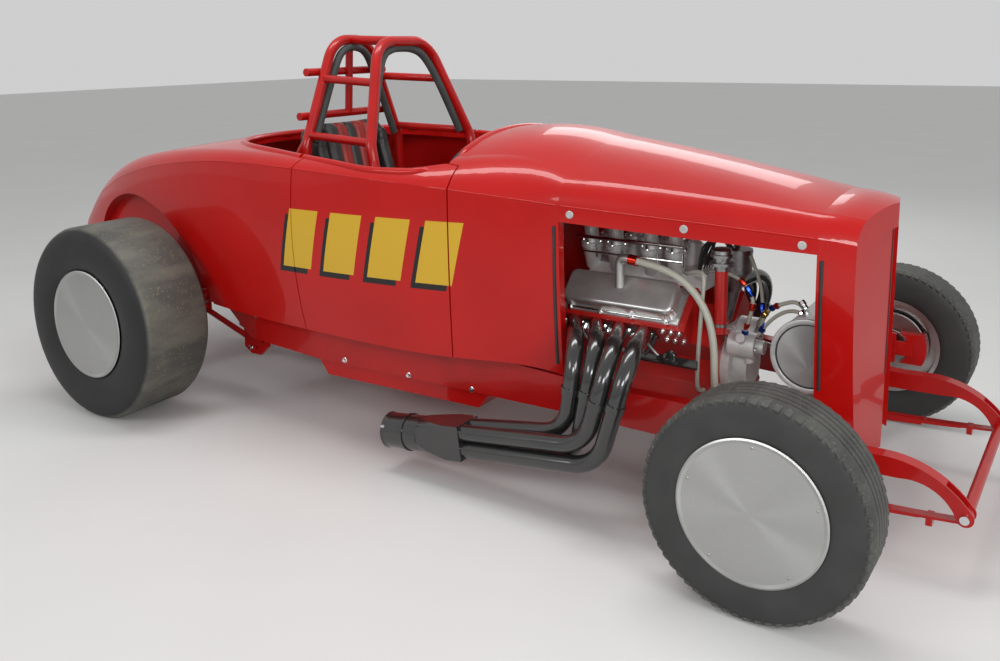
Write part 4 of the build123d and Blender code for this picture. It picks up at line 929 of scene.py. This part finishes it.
# rubber strips on the skin at both ends of the bay: name, station, heights
bayStrips = [
    ("bayStripRear", -0.845, (0.44, 0.55, 0.67, 0.80, 0.93)),
    ("bayStripFront", 0.002, (0.46, 0.56, 0.66, 0.77, 0.88)),
]
stripRadius, stripRise = 0.0055, 0.2       # its middle stands off the skin by a share of its radius
trimFrames = []
for side, word in sides:
    for name, stripStation, heights in bayStrips:
        hits = [sideHit(side, stripStation, height, 0.6) for height in heights]
        strip = pipe(f"{name}_{word}", [place + normal * stripRadius * stripRise for place, normal in hits],
            stripRadius, 8, 4)
        dress(strip, rimBlack, smooth=50)
    for station, height in ((-0.79, 0.972), (-0.412, 0.949), (-0.055, 0.924)):
        trimFrames.append(sideHit(side, station, height, 1.2))
turnButton = turnedShape("turnButton", [(0.0135, -0.002), (0.0135, 0.0022), (0.0115, 0.0042),
    (0.0085, 0.0046), (0.0078, 0.0036), (0, 0.0038)], 24)
slotBar = roundBox("slotBar", (-0.0064, -0.0009, 0.003), (0.0064, 0.0009, 0.0048), 0.0003, 1)
turnButtons = copyTo(joinPieces([turnButton, slotBar], "turnButton"), trimFrames, "turnButtons")
dress(turnButtons, paleCap, smooth=30)

# bolts along each lower rail: station, height
skirtBolts = ((-1.82, 0.285), (-1.50, 0.278), (-1.21, 0.273), (-2.44, 0.217))
skirtFrames = [sideHit(side, *place, 0.56) for side in (-1, 1) for place in skirtBolts]
dress(copyTo(hexBolt("skirtBolts", 0.014, 0.008), skirtFrames, "skirtBolts"), chrome, smooth=30)

# dark joint down the nose peak
joint = roundBox("noseJoint", spot(0.128, -0.0028, 0.45), spot(0.1385, 0.0028, 0.955), 0.001, 1)
dress(joint, rimBlack)

# rolled edge round the cockpit, in a piece for each panel that carries it
rimPlan = [(-1.306, 0.0), (-1.303, 0.12), (-1.297, 0.235), (-1.284, 0.34), (-1.275, 0.43), (-1.279, 0.490),
    (-1.310, 0.535), (-1.385, 0.566), (-1.470, 0.580), (-1.570, 0.592), (-1.700, 0.586), (-1.800, 0.578),
    (-1.900, 0.570)]
rimRear = [(-1.908, 0.569), (-1.980, 0.557), (-2.100, 0.534), (-2.200, 0.512), (-2.290, 0.484),
    (-2.370, 0.440), (-2.440, 0.396), (-2.500, 0.325), (-2.552, 0.235), (-2.582, 0.12), (-2.597, 0.0)]
rimRadius, rimSink, rimLowest = 0.0145, 0.004, 1.02
rimEase, rearEase = 0.010, 0.006       # the tube's middle lies this far outside the plan


def onSkin(station, y):
    place, normal = surfaceHit(spot(station, y, 1.45), (0, 0, -1))
    return Vector((frontX + station, y, max(place.z, rimLowest) - rimSink))


cowlHalf = [(s, y) for s, y in rimPlan if y < 0.50]
doorPart = [(s, y) for s, y in rimPlan if y > 0.48]
cowlRim = [onSkin(s + rimEase, -y) for s, y in reversed(cowlHalf)]
cowlRim += [onSkin(s + rimEase, y) for s, y in cowlHalf[1:]]
dress(pipe("cowlRim", cowlRim, rimRadius, 8, 6), bodyRed, smooth=60)
rearRim = [onSkin(s - rearEase, -y - rimEase) for s, y in rimRear]
rearRim += [onSkin(s - rearEase, y + rimEase) for s, y in reversed(rimRear[:-1])]
dress(pipe("rearRim", rearRim, rimRadius, 8, 6), bodyRed, smooth=60)
for side, word in sides:
    doorRim = [onSkin(s, side * (y + rimEase)) for s, y in doorPart]
    dress(pipe(f"doorRim_{word}", doorRim, rimRadius, 8, 6), bodyRed, f"door_{word}",
        smooth=60)

# raised belt line along the widest part of each panel: name, body, (station, height) from front to back
beltLines = [
    ("hoodBelt", "chassis", [(-0.020, 0.9465), (-0.22, 0.961), (-0.42, 0.974), (-0.63, 0.987),
        (-0.822, 0.9995)]),
    ("cowlBelt", "chassis", [(-0.838, 1.0005), (-0.97, 1.015), (-1.10, 1.029), (-1.208, 1.039)]),
    ("doorBelt", "door", [(-1.222, 1.040), (-1.40, 1.053), (-1.60, 1.064), (-1.78, 1.073),
        (-1.896, 1.078)]),
    ("rearBelt", "chassis", [(-1.914, 1.079), (-2.15, 1.083), (-2.35, 1.082), (-2.55, 1.064),
        (-2.75, 1.040), (-2.93, 1.007), (-3.10, 0.965), (-3.26, 0.912), (-3.40, 0.850)]),
]
beadRadius, beadSink = 0.0032, 0.0006
for side, word in sides:
    for name, body, line in beltLines:
        places = []
        for station, height in line:
            place, normal = sideHit(side, station, height, 1.2)
            places.append(place - normal * beadSink)
        bead = pipe(f"{name}_{word}", places, beadRadius, 12, 4)
        dress(bead, bodyRed, f"door_{word}" if body == "door" else body, smooth=60)

# gauges on the dash
gaugeStation, gaugeZ = -1.206, 1.075
bezels, discs = [], []
for y in (-0.20, -0.07, 0.07, 0.20):
    dial = frameAt(spot(gaugeStation, y, gaugeZ), (-1, 0, 0))
    bezel = turnedShape("bezel", [(0.036, 0), (0.036, 0.008), (0.033, 0.012), (0.029, 0.011),
        (0.028, 0.006)], 32)
    disc = turnedShape("gaugeFace", [(0.0285, 0.0), (0.0285, 0.006), (0, 0.0062)], 32)
    needle = roundBox("needle", (-0.0009, -0.004, 0.0068), (0.0009, 0.021, 0.0078), 0.0003, 1)
    for piece, turn in ((bezel, 0), (disc, 0), (needle, 1.1 + 4 * y)):
        piece.matrix_world = dial @ Matrix.Rotation(turn, 4, "Z")
        settle(piece)
    bezels.append(bezel)
    discs += [disc, needle]
dress(joinPieces(bezels, "gaugeBezels"), chrome, smooth=40)
dress(joinPieces(discs, "gaugeFaces"), rimBlack, smooth=40)
print("trim ready")

swellFrames = 20
padVoxel = 0.008


def softPad(pad, cap, pressure=4.0):
    # swelled shell: remeshed evenly, blown up a little as cloth, held within a cap, then smoothed once
    activate(pad)
    pad.data.remesh_voxel_size = padVoxel
    bpy.ops.object.voxel_remesh()
    start = [vertex.co.copy() for vertex in pad.data.vertices]
    cloth = pad.modifiers.new("swell", "CLOTH")
    cloth.settings.use_pressure = True
    cloth.settings.uniform_pressure_force = pressure
    cloth.settings.effector_weights.gravity = 0
    cloth.point_cache.frame_start = 1
    cloth.point_cache.frame_end = swellFrames
    for number in range(1, swellFrames + 1):
        bpy.context.scene.frame_set(number)
    activate(pad)
    bpy.ops.object.modifier_apply(modifier=cloth.name)
    for vertex, before in zip(pad.data.vertices, start):
        move = vertex.co - before
        if move.length > cap:
            vertex.co = before + move.normalized() * cap
    bpy.context.scene.frame_set(1)
    smooth = pad.modifiers.new("smooth", "SUBSURF")
    smooth.levels = smooth.render_levels = 1
    activate(pad)
    bpy.ops.object.modifier_apply(modifier=smooth.name)


def channelPad(name, low, high):
    # upholstered pad: a rounded box, cut fine enough for its sewn channels
    pad = roundBox(name, low, high, 0.022, 3)
    editAll()
    bpy.ops.mesh.subdivide(number_cuts=6)
    objectMode()
    return pad


# sewn channels: offsets across the pad, half width, depth
channelLines, channelHalf, channelDepth = (-0.085, -0.028, 0.028, 0.085), 0.012, 0.009


def pressChannels(pad, turn, origin):
    # sinks the pad's upper surface along the channels
    inverse = turn.inverted()
    for vertex in pad.data.vertices:
        place = inverse @ (vertex.co - origin)
        for line in channelLines:
            near = abs(place.y - line) / channelHalf
            if near < 1 and place.z > 0:
                vertex.co = vertex.co - (turn @ Vector((0, 0, 1))) * channelDepth * (1 - near * near) ** 2


backLow, backHigh = Vector(spot(-2.105, 0, 0.575)), Vector(spot(-2.250, 0, 1.205))
backAxis = (backHigh - backLow).normalized()
backOut = Vector((0, 1, 0)).cross(backAxis)
if backOut.x < 0:
    backOut = -backOut
backTurn = Matrix((backAxis, Vector((0, 1, 0)), backOut)).transposed()
backLength = (backHigh - backLow).length
backMiddle = (backLow + backHigh) / 2
backFrame = Matrix.Translation(backMiddle + backOut * 0.012) @ backTurn.to_4x4()
pad = channelPad("seatBackPad", (-backLength / 2, -0.165, -0.035), (backLength / 2, 0.165, 0.035))
pad.matrix_world = backFrame
settle(pad)
softPad(pad, 0.014)
pressChannels(pad, backTurn, backMiddle)
dress(pad, seatPanels, smooth=60)
cushion = channelPad("seatCushionPad", spot(-2.10, -0.175, 0.505), spot(-1.745, 0.175, 0.575))
softPad(cushion, 0.014)
pressChannels(cushion, Matrix.Identity(3), Vector(spot(-1.92, 0, 0.54)))
dress(cushion, seatPanels, smooth=60)
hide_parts("seat")


def wingPad(name, side):
    # side bolster: a flat outline pulled into a rounded shell
    outline = [(-1.790, 0.455), (-1.765, 0.590), (-1.900, 0.640), (-2.030, 0.680), (-2.110, 0.960),
        (-2.170, 1.150), (-2.230, 1.195), (-2.290, 1.175), (-2.325, 1.000), (-2.300, 0.600),
        (-2.290, 0.455)]
    wing = drawLine(name, [spot(s, side * 0.178, z) for s, z in outline], close=True)
    editAll()
    bpy.ops.mesh.edge_face_add()
    bpy.ops.mesh.extrude_region_move(TRANSFORM_OT_translate={"value": (0, side * 0.046, 0)})
    bpy.ops.mesh.select_all(action="SELECT")
    bpy.ops.mesh.normals_make_consistent(inside=False)
    bpy.ops.mesh.bevel(offset=0.014, segments=3, affect="EDGES")
    objectMode()
    softPad(wing, 0.008, 2.0)
    dress(wing, seatVinyl, smooth=60)


for side, word in sides:
    wingPad(f"seatWing_{word}", side)

# hard back and pan under the pads
pan = roundBox("seatShell", (-backLength / 2 - 0.02, -0.185, -0.055),
    (backLength / 2 - 0.03, 0.185, -0.030), 0.008, 2)
pan.matrix_world = backFrame
base = roundBox("seatBase", spot(-2.29, -0.18, 0.448), spot(-1.76, 0.18, 0.508), 0.008, 2)
dress(joinPieces([base, pan], "seatShell"), seatVinyl, smooth=40)

# foam sleeves on the inner faces of the hoops
sleeves = [
    ("rearHoopSleeve", [(-2.158, 0.262, 1.130), (-2.158, 0.190, 1.290), (-2.158, 0.128, 1.425),
        (-2.158, 0.080, 1.512), (-2.158, 0.0, 1.534)]),
    ("frontHoopSleeve", [(-1.800, 0.297, 1.150), (-1.825, 0.244, 1.280), (-1.853, 0.184, 1.415),
        (-1.873, 0.130, 1.498), (-1.880, 0.060, 1.521), (-1.881, 0.0, 1.523)]),
]
for name, half in sleeves:
    places = [spot(s, -y, z) for s, y, z in half] + [spot(s, y, z) for s, y, z in reversed(half[:-1])]
    sleeve = pipe(name, places, 0.0165, 10, 5)
    dress(sleeve, sleeveFoam, smooth=60)
print("soft parts ready")

stage = {"floorSize": 60.0, "floorTone": 0.66, "backTone": 0.62, "worldFill": 0.55}


def makeStage():
    deselectAll()
    bpy.ops.mesh.primitive_plane_add(size=stage["floorSize"], location=(0, 0, 0))
    floor = bpy.context.object
    floor.name = "floor"
    tone = stage["floorTone"]
    floor.data.materials.append(toneAndGrain(
        "floorPale", (tone, tone, tone * 0.99), (tone * 0.97, tone * 0.97, tone * 0.96), 1.5,
        (60, 0.02, 0.001, 0.55, 0.7)))
    world = bpy.data.worlds.new("studio")
    bpy.context.scene.world = world
    world.use_nodes = True
    tree = world.node_tree
    shader = tree.nodes["Background"]
    shader.inputs["Color"].default_value = (1, 1, 1, 1)
    path = addNode(tree, "ShaderNodeLightPath")
    seen = maths(tree, "MAXIMUM", path.outputs["Is Camera Ray"], path.outputs["Is Transmission Ray"])
    seen = maths(tree, "MAXIMUM", seen, path.outputs["Is Glossy Ray"])
    level = addNode(tree, "ShaderNodeMapRange", {"To Min": stage["worldFill"], "To Max": stage["backTone"]})
    tree.links.new(seen, level.inputs["Value"])
    wire(tree, (level, "Result", shader, "Strength"))


# soft lights: name, place, aimed at, width, height, watts
softLights = [
    ("overhead", (0.2, -0.3, 4.2), (0.0, 0.0, 0.5), 3.6, 0.7, 75),
    ("noseSide", (5.0, -2.6, 2.6), (0.6, -0.2, 0.6), 2.2, 1.2, 70),
    ("doorSide", (-1.5, -5.5, 3.2), (-0.3, 0.0, 0.6), 2.6, 1.2, 60),
    ("farSide", (-1.0, 5.0, 3.4), (0.0, 0.0, 0.6), 3.0, 1.6, 40),
    ("besideCamera", (2.9, -3.7, 1.9), (0.75, -0.2, 0.6), 1.0, 0.7, 34),
]


def makeLights():
    for name, place, aim, width, height, watts in softLights:
        data = bpy.data.lights.new(name, "AREA")
        data.shape = "RECTANGLE"
        data.size, data.size_y = width, height
        data.energy = watts
        lamp = newObject(name, data)
        lamp.location = place
        lamp.rotation_euler = (Vector(aim) - Vector(place)).to_track_quat("-Z", "Y").to_euler()


# camera: place from the front axle, yaw to the left of +Y, pitch down, roll, focal length in widths
camera = {"fromAxle": (0.754, -3.172, 1.541), "yaw": 33.99, "pitch": 10.07, "roll": -0.74, "focal": 0.9468,
    "shift": -0.12, "sensor": 36}


def makeCamera():
    data = bpy.data.cameras.new("photographView")
    data.sensor_width = camera["sensor"]
    data.lens = camera["focal"] * camera["sensor"]
    data.shift_y = camera["shift"]
    obj = newObject("photographView", data)
    yaw, pitch, roll = (math.radians(camera[key]) for key in ("yaw", "pitch", "roll"))
    ahead = Vector((-math.sin(yaw), math.cos(yaw), 0))
    right = Vector((math.cos(yaw), math.sin(yaw), 0))
    up = Vector((0, 0, 1))
    view = ahead * math.cos(pitch) - up * math.sin(pitch)
    over = up * math.cos(pitch) + ahead * math.sin(pitch)
    rightRolled = right * math.cos(roll) + over * math.sin(roll)
    overRolled = over * math.cos(roll) - right * math.sin(roll)
    turn = Matrix((rightRolled, overRolled, -view)).transposed()
    x, y, z = camera["fromAxle"]
    obj.matrix_world = Matrix.Translation((frontX + x, y, z)) @ turn.to_4x4()
    bpy.context.scene.camera = obj
    bpy.context.scene.view_settings.view_transform = "Standard"


makeStage()
makeLights()
makeCamera()
print("stage ready")
